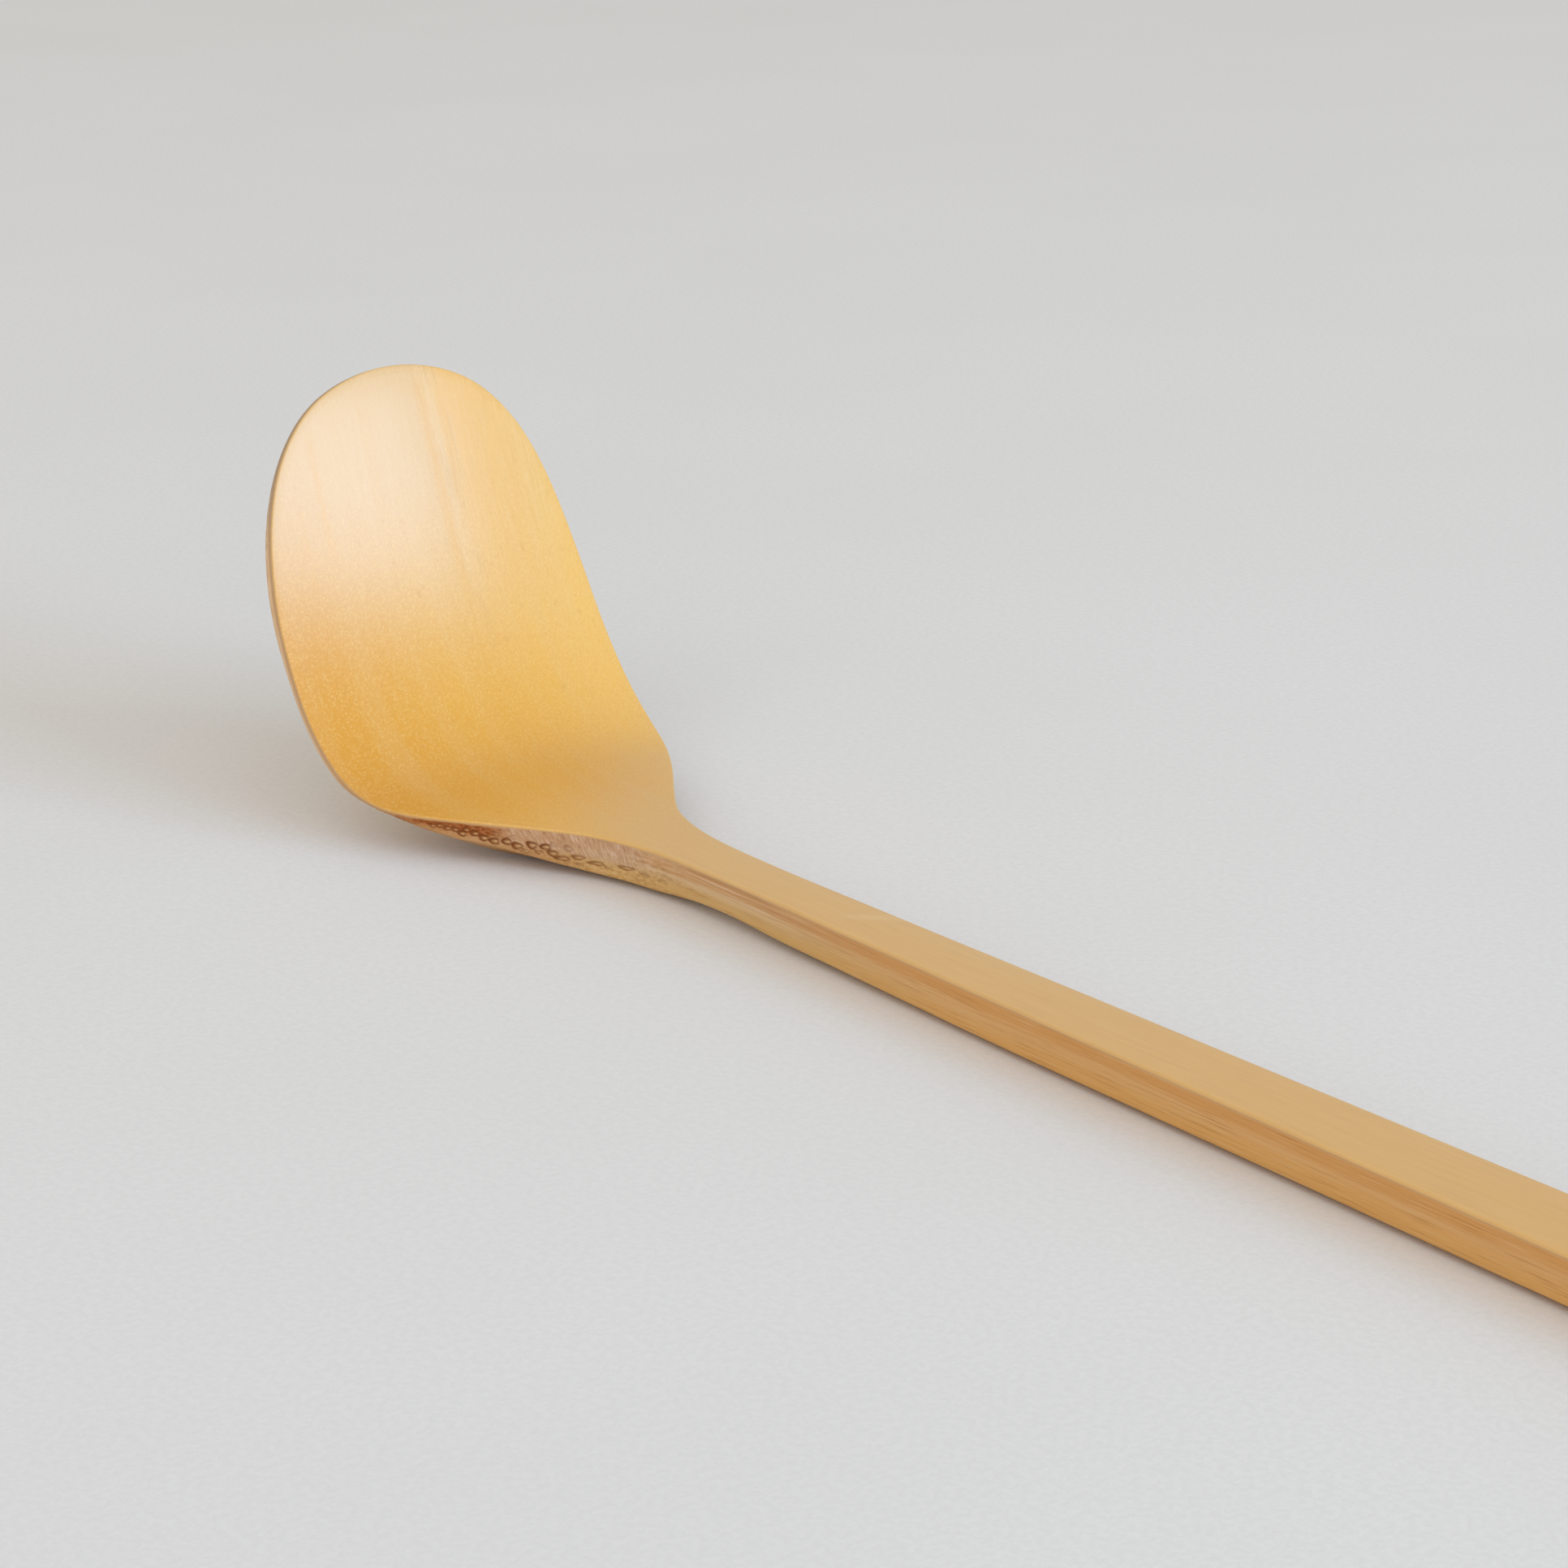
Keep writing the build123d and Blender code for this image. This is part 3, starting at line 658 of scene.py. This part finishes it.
# ------------------------------------------------------------------ materials
class Graph:
    def __init__(self, name):
        self.mat = bpy.data.materials.new(name)
        self.mat.use_nodes = True
        self.tree = self.mat.node_tree
        self.tree.nodes.clear()
        self.out = self.add("ShaderNodeOutputMaterial")
        self.bsdf = self.add("ShaderNodeBsdfPrincipled")
        self.link(self.bsdf.outputs[0], self.out.inputs["Surface"])

    def add(self, kind, **props):
        node = self.tree.nodes.new(kind)
        for key, value in props.items():
            setattr(node, key, value)
        return node

    def link(self, a, b):
        self.tree.links.new(a, b)

    def put(self, socket, value):
        if isinstance(value, bpy.types.NodeSocket):
            self.link(value, socket)
        elif isinstance(value, (tuple, list)) and len(value) == 3 and socket.type == "RGBA":
            socket.default_value = (*value, 1.0)
        else:
            socket.default_value = value

    def attr(self, name, out="Fac"):
        return self.add("ShaderNodeAttribute", attribute_name=name).outputs[out]

    def split(self, vec):
        return self.add_linked("ShaderNodeSeparateXYZ", vec).outputs

    def add_linked(self, kind, value, **props):
        node = self.add(kind, **props)
        self.put(node.inputs[0], value)
        return node

    def scaled(self, vec, scale, offset=(0, 0, 0), turn=0.0):
        if turn:
            node = self.add("ShaderNodeMapping")
            self.put(node.inputs["Vector"], vec)
            node.inputs["Rotation"].default_value = (0, 0, turn)
            vec = node.outputs[0]
        node = self.add("ShaderNodeMapping")
        self.put(node.inputs["Vector"], vec)
        node.inputs["Location"].default_value = offset
        node.inputs["Scale"].default_value = scale
        return node.outputs[0]

    def noise(self, vec, scale=1.0, detail=2.0, rough=0.5, distort=0.0):
        node = self.add("ShaderNodeTexNoise", noise_dimensions="3D")
        self.put(node.inputs["Vector"], vec)
        node.inputs["Scale"].default_value = scale
        node.inputs["Detail"].default_value = detail
        node.inputs["Roughness"].default_value = rough
        node.inputs["Distortion"].default_value = distort
        return node.outputs["Fac"]

    def cells(self, vec, scale=1.0, out="Distance"):
        node = self.add("ShaderNodeTexVoronoi", feature="F1")
        self.put(node.inputs["Vector"], vec)
        node.inputs["Scale"].default_value = scale
        return node.outputs[out]

    def math(self, op, a, b=0.0, clamp=False):
        node = self.add("ShaderNodeMath", operation=op, use_clamp=clamp)
        self.put(node.inputs[0], a)
        self.put(node.inputs[1], b)
        return node.outputs[0]

    def remap(self, v, a, b, lo=0.0, hi=1.0, smooth=True):
        node = self.add("ShaderNodeMapRange", interpolation_type="SMOOTHSTEP" if smooth else "LINEAR")
        self.put(node.inputs["Value"], v)
        for key, value in zip(("From Min", "From Max", "To Min", "To Max"), (a, b, lo, hi)):
            self.put(node.inputs[key], value)
        return node.outputs[0]

    def mix(self, fac, a, b, blend="MIX"):
        node = self.add("ShaderNodeMix", data_type="RGBA", blend_type=blend)
        node.clamp_factor = True
        ins = [s for s in node.inputs if s.enabled]
        self.put(ins[0], fac)
        self.put(ins[1], a)
        self.put(ins[2], b)
        return [s for s in node.outputs if s.enabled][0]

    def ramp(self, fac, stops, mode="EASE"):
        node = self.add("ShaderNodeValToRGB")
        self.put(node.inputs[0], fac)
        cr = node.color_ramp
        cr.interpolation = mode
        while len(cr.elements) < len(stops):
            cr.elements.new(0.5)
        for el, (pos, col) in zip(cr.elements, stops):
            el.position = pos
            el.color = (*col, 1.0)
        return node.outputs["Color"]

    def bump(self, height, strength, distance, normal=None):
        node = self.add("ShaderNodeBump")
        node.inputs["Strength"].default_value = strength
        node.inputs["Distance"].default_value = distance
        self.put(node.inputs["Height"], height)
        if normal is not None:
            self.put(node.inputs["Normal"], normal)
        return node.outputs[0]


def skin_material():
    g = Graph("bamboo_skin_satin")
    grain = g.attr("grain", "Vector")
    d, y, depth = g.split(grain)
    # colour along the strip: pale tip, golden heat-bent hollow, paler handle
    along = g.remap(d, 0.0, 60.0, smooth=False)
    col = g.ramp(along, [(0.0, (0.745, 0.465, 0.165)), (0.117, (0.735, 0.445, 0.145)), (0.233, (0.745, 0.418, 0.100)),
                         (0.333, (0.755, 0.390, 0.052)), (0.433, (0.740, 0.352, 0.026)), (0.50, (0.745, 0.358, 0.032)),
                         (0.60, (0.780, 0.432, 0.098)), (0.75, (0.788, 0.455, 0.134)), (1.0, (0.795, 0.452, 0.130))], "LINEAR")
    # painted shade and light: the left side of the blade is painted a deeper gold and the right one paler, for how the
    # light falls across it
    blade = g.remap(d, 34.0, 24.0)
    deep = g.math("MULTIPLY", g.remap(y, -1.0, -10.0, smooth=False), g.remap(d, 4.0, 16.0, 0.25, 1.0))
    col = g.mix(g.math("MULTIPLY", g.math("MULTIPLY", deep, blade), 0.75), col, (0.665, 0.285, 0.012))
    # painted light: the right side of the blade painted paler
    right_side_light = g.math("MULTIPLY", g.remap(y, 1.0, 9.5, smooth=False), g.remap(d, 40.0, 30.0))
    col = g.mix(g.math("MULTIPLY", right_side_light, 0.50), col, (0.90, 0.54, 0.125))
    upper = g.remap(d, 16.0, 5.0, 0.15, 1.0)
    # lengthwise brushing of the skin, strong towards the tip
    broad = g.noise(g.scaled(grain, (0.035, 0.55, 0.4), (3, 0, 0)), 1.0, 2.0, 0.5)
    fine = g.noise(g.scaled(grain, (0.22, 3.4, 1.0), (0, 7, 0)), 1.0, 2.0, 0.55)
    hair = g.noise(g.scaled(grain, (1.0, 12.0, 3.0), (0, 3, 0)), 1.0, 2.0, 0.6)
    col = g.mix(g.remap(broad, 0.42, 0.72, 0.0, 0.14), col, (0.74, 0.50, 0.22))
    col = g.mix(g.math("MULTIPLY", upper, g.remap(fine, 0.50, 0.76, 0.0, 0.26)), col, (0.80, 0.60, 0.34))
    col = g.mix(g.math("MULTIPLY", upper, g.remap(fine, 0.50, 0.26, 0.0, 0.22)), col, (0.62, 0.34, 0.085))
    col = g.mix(g.math("MULTIPLY", upper, g.remap(hair, 0.50, 0.72, 0.0, 0.26)), col, (0.82, 0.62, 0.36))
    # one paler fibrous streak down the blade beside the middle
    lean = g.math("ADD", g.math("MULTIPLY", d, -0.045), g.math("ADD", y, -1.98))
    wob = g.math("MULTIPLY", g.math("SUBTRACT", g.noise(g.scaled(grain, (0.2, 0.0, 0.0), (11, 0, 0)), 1.0, 1.0), 0.5), 0.5)
    off = g.math("ABSOLUTE", g.math("ADD", lean, wob))
    streak = g.math("MULTIPLY", g.remap(off, 1.0, 0.05), g.remap(d, 17.0, 6.0))
    streak = g.math("MULTIPLY", streak, g.remap(hair, 0.32, 0.62, 0.35, 1.0))
    col = g.mix(g.math("MULTIPLY", streak, 0.26), col, (0.82, 0.64, 0.40))
    # painted highlight: left of that grain line the skin is painted whiter, right of it more golden, and the border is
    # streaky
    split = g.math("ADD", lean, g.math("MULTIPLY", g.math("SUBTRACT", fine, 0.5), 4.0))
    east = g.remap(split, -1.1, 1.7)
    gold = g.math("MULTIPLY", g.math("MULTIPLY", east, g.remap(lean, 6.5, 3.0)), g.remap(d, 17.0, 7.0))
    col = g.mix(g.math("MULTIPLY", gold, 0.46), col, (0.770, 0.405, 0.080))
    # painted highlight: whiter skin left of the grain line
    west_highlight = g.math("MULTIPLY", g.math("SUBTRACT", 1.0, east), g.remap(d, 17.0, 5.0))
    col = g.mix(g.math("MULTIPLY", west_highlight, 0.44), col, (0.640, 0.405, 0.180))
    seam = g.math("MULTIPLY", g.remap(g.math("ABSOLUTE", lean), 1.9, 0.2), g.remap(d, 22.0, 8.0))
    col = g.mix(g.math("MULTIPLY", seam, g.remap(fine, 0.50, 0.34, 0.0, 0.42)), col, (0.66, 0.36, 0.085))
    # single golden fibre lines in the white of the blade: across, half width, where they end, strength
    bent = g.math("ADD", y, g.math("MULTIPLY", wob, 0.6))
    for at, wide, start, end, much in ((1.55, 0.60, 0.0, 16.0, 0.46), (2.72, 0.50, 1.0, 12.0, 0.36), (-6.15, 0.42, 2.5, 13.0, 0.34),
                                       (-7.70, 0.35, 6.0, 15.0, 0.22), (-2.60, 0.50, 1.0, 10.0, 0.14)):
        line = g.remap(g.math("ABSOLUTE", g.math("SUBTRACT", bent, at)), wide, 0.05)
        line = g.math("MULTIPLY", line, g.math("MULTIPLY", g.remap(d, end, 0.6 * end), g.remap(d, start, start + 2.0)))
        line = g.math("MULTIPLY", line, g.remap(hair, 0.66, 0.36, 0.45, 1.0))
        col = g.mix(g.math("MULTIPLY", line, much), col, (0.735, 0.355, 0.025))
    # a faint paler place across the handle's face
    slope = g.math("SUBTRACT", g.math("SUBTRACT", d, 55.3), g.math("MULTIPLY", y, 0.9))
    pale_smear = g.math("MULTIPLY", g.remap(g.math("ABSOLUTE", slope), 0.9, 0.1), g.remap(y, -0.9, 0.2))
    col = g.mix(g.math("MULTIPLY", pale_smear, 0.32), col, (0.90, 0.62, 0.30))
    # felt of tiny short flecks lying every way, over a fine pale and dark mottle
    f1 = g.noise(g.scaled(grain, (4.2, 7.0, 4.0), (0, 0, 0), 0.55), 1.0, 1.0, 0.5)
    v1 = g.cells(g.scaled(grain, (2.5, 6.6, 0.0), (0, 0, 0.30), 0.45))
    v2 = g.cells(g.scaled(grain, (2.5, 6.6, 0.0), (5, 2, 0.45), -0.60))
    v3 = g.cells(g.scaled(grain, (2.7, 6.8, 0.0), (9, 4, 0.60), 1.50))
    pale = g.math("MAXIMUM", g.math("MAXIMUM", g.remap(v1, 0.38, 0.04), g.remap(v2, 0.38, 0.04)), g.remap(v3, 0.36, 0.04))
    dark = g.remap(f1, 0.46, 0.28)
    where = g.math("MULTIPLY", g.remap(d, 2.0, 13.0, 0.35, 1.0), g.remap(d, 46.0, 34.0, 0.20, 1.0))
    col = g.mix(g.math("MULTIPLY", where, g.remap(f1, 0.54, 0.74, 0.0, 0.16)), col, (0.86, 0.58, 0.20))
    col = g.mix(g.math("MULTIPLY", g.math("MULTIPLY", dark, where), 0.15), col, (0.58, 0.265, 0.035))
    col = g.mix(g.math("MULTIPLY", g.math("MULTIPLY", pale, where), 0.32), col, (0.90, 0.62, 0.22))
    # the handle's face is brushed lengthwise
    grip = g.remap(d, 36.0, 44.0)
    col = g.mix(g.math("MULTIPLY", grip, g.remap(fine, 0.50, 0.74, 0.0, 0.20)), col, (0.86, 0.56, 0.20))
    col = g.mix(g.math("MULTIPLY", grip, g.remap(fine, 0.50, 0.28, 0.0, 0.20)), col, (0.64, 0.33, 0.075))
    soft = g.noise(g.scaled(grain, (1.1, 1.7, 1.0), (2, 9, 0)), 1.0, 2.0, 0.5)
    col = g.mix(g.math("MULTIPLY", where, g.remap(soft, 0.60, 0.80, 0.0, 0.26)), col, (0.58, 0.27, 0.045))
    # the bare rim of the skin: a pale line, painted highlight along the rounded edge, then a dark one where the fibre
    # begins
    col = g.mix(g.remap(depth, 0.028, 0.060, 0.0, 0.34), col, (0.80, 0.48, 0.14))
    col = g.mix(g.remap(depth, 0.100, 0.180, 0.0, 0.55), col, (0.50, 0.27, 0.115))
    g.put(g.bsdf.inputs["Base Color"], col)
    rough = g.math("ADD", g.remap(fine, 0.3, 0.7, 0.30, 0.36), g.math("MULTIPLY", pale, 0.03))
    g.put(g.bsdf.inputs["Roughness"], rough)
    g.bsdf.inputs["Specular IOR Level"].default_value = 0.60
    g.bsdf.inputs["Coat Weight"].default_value = 0.72
    g.bsdf.inputs["Coat Roughness"].default_value = 0.34
    h = g.math("ADD", g.math("MULTIPLY", fine, 0.5), g.math("ADD", g.math("MULTIPLY", hair, 0.40), g.math("MULTIPLY", f1, 0.22)))
    g.put(g.bsdf.inputs["Normal"], g.bump(h, 0.35, 0.00003))
    return g.mat


def fibre_material(name):
    g = Graph(name)
    grain = g.attr("grain", "Vector")
    d, y, depth = g.split(grain)
    ring, core_highlight = g.attr("ring"), g.attr("core_highlight")
    scrape, burn = g.attr("scrape"), g.attr("burn")
    lines = g.noise(g.scaled(grain, (0.10, 4.0, 5.0), (0, 1, 2)), 1.0, 3.0, 0.55)
    thin = g.noise(g.scaled(grain, (0.22, 11.0, 13.0), (4, 0, 1)), 1.0, 2.0, 0.55)
    broad = g.noise(g.scaled(grain, (0.05, 1.2, 1.5), (1, 5, 0)), 1.0, 2.0, 0.5)
    level = g.math("ADD", depth, g.math("MULTIPLY", g.math("SUBTRACT", lines, 0.5), 0.9))
    level = g.math("ADD", level, g.math("MULTIPLY", g.math("SUBTRACT", broad, 0.5), 0.8))
    tone = g.remap(level, 0.0, 2.8, smooth=False)
    col = g.ramp(tone, [(0.0, (0.62, 0.335, 0.130)), (0.14, (0.60, 0.305, 0.112)), (0.28, (0.61, 0.325, 0.125)),
                        (0.42, (0.69, 0.455, 0.220)), (0.56, (0.67, 0.420, 0.170)), (0.76, (0.67, 0.405, 0.140)),
                        (1.0, (0.58, 0.340, 0.110))], "LINEAR")
    # past the neck the cut side is a stronger orange
    col = g.mix(g.remap(d, 48.0, 68.0, 0.0, 0.50), col, (0.745, 0.355, 0.092))
    col = g.mix(g.remap(thin, 0.54, 0.74, 0.0, 0.55), col, (0.43, 0.195, 0.055))
    col = g.mix(g.remap(thin, 0.46, 0.26, 0.0, 0.42), col, (0.76, 0.53, 0.265))
    dash = g.noise(g.scaled(grain, (0.9, 14.0, 16.0), (2, 3, 1)), 1.0, 1.0, 0.5)
    near = g.remap(d, 60.0, 40.0, 0.15, 1.0)
    col = g.mix(g.math("MULTIPLY", near, g.remap(dash, 0.62, 0.78, 0.0, 0.5)), col, (0.27, 0.12, 0.04))
    # scraped pale fibres along the upper side of the neck, and darker lines below them
    neck = g.math("MULTIPLY", g.remap(d, 36.0, 40.0), g.remap(d, 58.0, 48.0))
    col = g.mix(g.math("MULTIPLY", g.math("MULTIPLY", neck, g.remap(depth, 1.5, 0.9)), g.remap(lines, 0.46, 0.62, 0.10, 0.60)), col, (0.78, 0.56, 0.37))
    col = g.mix(g.math("MULTIPLY", neck, g.remap(lines, 0.46, 0.34, 0.0, 0.42)), col, (0.42, 0.205, 0.075))
    # the keel is cut across the grain and looks mottled
    mott = g.noise(g.scaled(grain, (2.6, 5.0, 6.5), (3, 8, 1)), 1.0, 3.0, 0.6)
    keel = g.math("MULTIPLY", g.remap(d, 46.0, 39.0), g.remap(d, 23.0, 27.0))
    col = g.mix(g.math("MULTIPLY", keel, g.remap(mott, 0.50, 0.70, 0.0, 0.55)), col, (0.38, 0.175, 0.052))
    col = g.mix(g.math("MULTIPLY", keel, g.remap(mott, 0.47, 0.30, 0.0, 0.35)), col, (0.80, 0.56, 0.29))
    # scraped patch: pale pinkish nicks across the grain
    slant = g.math("SUBTRACT", d, g.math("MULTIPLY", depth, 0.30))
    across = g.add("ShaderNodeCombineXYZ")
    g.put(across.inputs[0], g.math("MULTIPLY", slant, 10.5))
    g.put(across.inputs[1], g.math("MULTIPLY", y, 0.4))
    g.put(across.inputs[2], g.math("MULTIPLY", depth, 1.6))
    nick = g.noise(across.outputs[0], 1.0, 3.0, 0.62)
    col = g.mix(g.math("MULTIPLY", scrape, 0.60), col, (0.60, 0.380, 0.235))
    col = g.mix(g.math("MULTIPLY", scrape, g.remap(nick, 0.50, 0.66, 0.0, 0.66)), col, (0.80, 0.59, 0.43))
    col = g.mix(g.math("MULTIPLY", scrape, g.remap(nick, 0.49, 0.34, 0.0, 0.66)), col, (0.38, 0.190, 0.092))
    # the heat of bending has left the front of the keel a deeper orange
    warm = g.math("MULTIPLY", g.remap(d, 37.5, 33.0), g.remap(d, 23.0, 27.0))
    warm = g.math("MULTIPLY", warm, g.math("SUBTRACT", 0.60, g.math("MULTIPLY", scrape, 0.30)))
    col = g.mix(warm, col, (0.435, 0.185, 0.060))
    # scorched patch under the skin at the bend
    char = g.noise(g.scaled(grain, (2.8, 6.0, 8.0), (7, 0, 0)), 1.0, 3.0, 0.65)
    burnt = g.math("MULTIPLY", burn, g.remap(char, 0.32, 0.58, 0.50, 0.97))
    col = g.mix(burnt, col, (0.315, 0.072, 0.006))
    col = g.mix(g.math("MULTIPLY", burn, g.remap(char, 0.50, 0.66, 0.0, 0.62)), col, (0.110, 0.024, 0.003))
    # cut bundles: dark rings, partly painted shade, and pale cores that are painted highlights
    col = g.mix(g.math("MULTIPLY", ring, 0.97), col, (0.180, 0.043, 0.003))
    col = g.mix(g.math("MULTIPLY", core_highlight, 0.72), col, (0.78, 0.48, 0.20))
    # greyer, paler cut edge around the blade
    rim = g.remap(d, 25.0, 21.0)
    col = g.mix(g.math("MULTIPLY", rim, g.remap(thin, 0.30, 0.62, 0.85, 0.50)), col,
                g.mix(g.remap(depth, 0.36, 0.54), (0.60, 0.385, 0.215), (0.88, 0.640, 0.400)))
    # painted shade: the side of the blade near the tip painted darker and greyer, where it lies in shadow
    tip = g.math("MULTIPLY", g.remap(d, 10.0, 5.0), 0.75)
    col = g.mix(tip, col, (0.43, 0.315, 0.215))
    # the thin pale line of the dense rind next to the skin
    col = g.mix(g.math("MULTIPLY", g.remap(depth, 0.36, 0.22, 0.0, 0.35), g.math("SUBTRACT", 1.0, g.math("MAXIMUM", burn, scrape))), col, (0.62, 0.41, 0.20))
    g.put(g.bsdf.inputs["Base Color"], col)
    g.put(g.bsdf.inputs["Roughness"], g.remap(thin, 0.3, 0.7, 0.50, 0.66))
    g.bsdf.inputs["Specular IOR Level"].default_value = 0.22
    h = g.math("ADD", g.math("MULTIPLY", thin, 0.7), g.math("MULTIPLY", dash, -0.5))
    h = g.math("ADD", h, g.math("MULTIPLY", g.math("MULTIPLY", mott, keel), -0.8))
    h = g.math("ADD", h, g.math("MULTIPLY", g.math("MULTIPLY", nick, scrape), 0.9))
    g.put(g.bsdf.inputs["Normal"], g.bump(h, 0.5, 0.00005))
    return g.mat


def end_material():
    """Cut end of the strip: bundle ends as brown dots in paler ground."""
    g = Graph("bamboo_end_grain")
    grain = g.attr("grain", "Vector")
    d, y, depth = g.split(grain)
    cell = g.cells(g.scaled(grain, (0.0, 2.3, 2.6)), 1.0)
    ground = g.noise(g.scaled(grain, (0.0, 6.0, 6.0)), 1.0, 3.0, 0.6)
    col = g.ramp(g.remap(depth, 0.0, 2.6, smooth=False),
                 [(0.0, (0.50, 0.28, 0.10)), (0.10, (0.30, 0.15, 0.055)), (0.45, (0.42, 0.26, 0.12)), (1.0, (0.52, 0.37, 0.19))], "LINEAR")
    col = g.mix(g.remap(ground, 0.4, 0.7, 0.0, 0.4), col, (0.58, 0.42, 0.23))
    col = g.mix(g.remap(cell, 0.30, 0.17, 0.0, 0.75), col, (0.22, 0.10, 0.035))
    g.put(g.bsdf.inputs["Base Color"], col)
    g.put(g.bsdf.inputs["Roughness"], g.remap(ground, 0.3, 0.7, 0.55, 0.7))
    g.bsdf.inputs["Specular IOR Level"].default_value = 0.35
    g.put(g.bsdf.inputs["Normal"], g.bump(cell, 0.4, 0.00006))
    return g.mat


mat_skin, mat_dense, mat_pale = skin_material(), fibre_material("bamboo_dense_fibre"), fibre_material("bamboo_pale_fibre")
mat_end = end_material()
for ob, mat, node, slot in ((skin, mat_skin, "bamboo_skin", "skin"), (outer, mat_dense, "outer_wall", "dense_fibre"),
                            (inner, mat_pale, "inner_wall", "pale_fibre")):
    ob.data.materials.append(mat)
    ob.data.materials.append(mat_end)
    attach(ob, "root")
    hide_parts(node)


# ------------------------------------------------------------------ stage
def floor_material():
    g = Graph("paper_floor")
    geo = g.add("ShaderNodeNewGeometry").outputs["Position"]
    fuzz = g.noise(g.scaled(geo, (2600, 2600, 2600)), 1.0, 3.0, 0.65)
    soft = g.noise(g.scaled(geo, (30, 30, 30)), 1.0, 2.0, 0.5)
    col = g.mix(g.remap(soft, 0.3, 0.7, 0.0, 1.0), (0.822, 0.822, 0.817), (0.838, 0.838, 0.835))
    col = g.mix(g.remap(fuzz, 0.35, 0.65, 0.0, 0.5), col, (0.765, 0.765, 0.760))
    g.put(g.bsdf.inputs["Base Color"], col)
    g.bsdf.inputs["Roughness"].default_value = 0.9
    g.bsdf.inputs["Specular IOR Level"].default_value = 0.2
    g.put(g.bsdf.inputs["Normal"], g.bump(fuzz, 0.20, 0.00006))
    return g.mat


fm = bpy.data.meshes.new("floor")
s, z = 3.0, -0.00002
fm.from_pydata([(-s, -s, z), (s, -s, z), (s, s, z), (-s, s, z)], [], [(0, 1, 2, 3)])
floor = bpy.data.objects.new("floor", fm)
bpy.context.scene.collection.objects.link(floor)
floor.data.materials.append(floor_material())

world = bpy.data.worlds.new("studio")
bpy.context.scene.world = world
world.use_nodes = True
bg = world.node_tree.nodes["Background"]
bg.inputs["Color"].default_value = (1.0, 0.9375, 0.833, 1.0)
bg.inputs["Strength"].default_value = 0.576


def softbox(name, azimuth, elevation, distance, size, power, colour, at=(-0.08, 0.0, 0.012)):
    """Rectangular lamp aimed at a point; azimuth from +X towards +Y."""
    az, el = math.radians(azimuth), math.radians(elevation)
    way = np.array([math.cos(el) * math.cos(az), math.cos(el) * math.sin(az), math.sin(el)])
    lamp = bpy.data.lights.new(name, "AREA")
    lamp.shape = "RECTANGLE"
    lamp.size, lamp.size_y = size
    lamp.energy = power
    lamp.color = colour
    ob = bpy.data.objects.new(name, lamp)
    bpy.context.scene.collection.objects.link(ob)
    right = np.cross([0, 0, 1.0], way)
    right /= np.linalg.norm(right)
    up = np.cross(way, right)
    m = np.eye(4)
    m[:3, 0], m[:3, 1], m[:3, 2], m[:3, 3] = right, up, way, np.array(at) + way * distance
    ob.matrix_world = Matrix(m.tolist())
    return ob


softbox("key", 20.0, 17.0, 1.8, (1.16, 0.80), 20.4, (0.55, 0.745, 1.0))
softbox("fill", -42.0, 32.0, 1.6, (2.2, 1.4), 11.5, (0.88, 0.90, 1.0))

# ------------------------------------------------------------------ camera
FOCAL, SIZE = 5000.0, 1932.0
theta, phi = math.radians(18.0), math.radians(37.84466)
ahead = np.array([-math.cos(phi), math.sin(phi), 0.0])
up_z = np.array([0.0, 0.0, 1.0])
cam_right = np.array([math.sin(phi), math.cos(phi), 0.0])
cam_up = ahead * math.sin(theta) + up_z * math.cos(theta)
cam_fwd = ahead * math.cos(theta) - up_z * math.sin(theta)
m = np.eye(4)
m[:3, 0], m[:3, 1], m[:3, 2], m[:3, 3] = cam_right, cam_up, -cam_fwd, np.array([0.1033465, -0.1213719, 0.0726350])
cam = bpy.data.cameras.new("photo_camera")
cam.sensor_width = 36.0
cam.lens = FOCAL / SIZE * 36.0
cam.clip_start, cam.clip_end = 0.005, 50.0
cam_ob = bpy.data.objects.new("photo_camera", cam)
bpy.context.scene.collection.objects.link(cam_ob)
cam_ob.matrix_world = Matrix(m.tolist())
bpy.context.scene.camera = cam_ob

bpy.context.scene.view_settings.view_transform = "Standard"
bpy.context.view_layer.update()
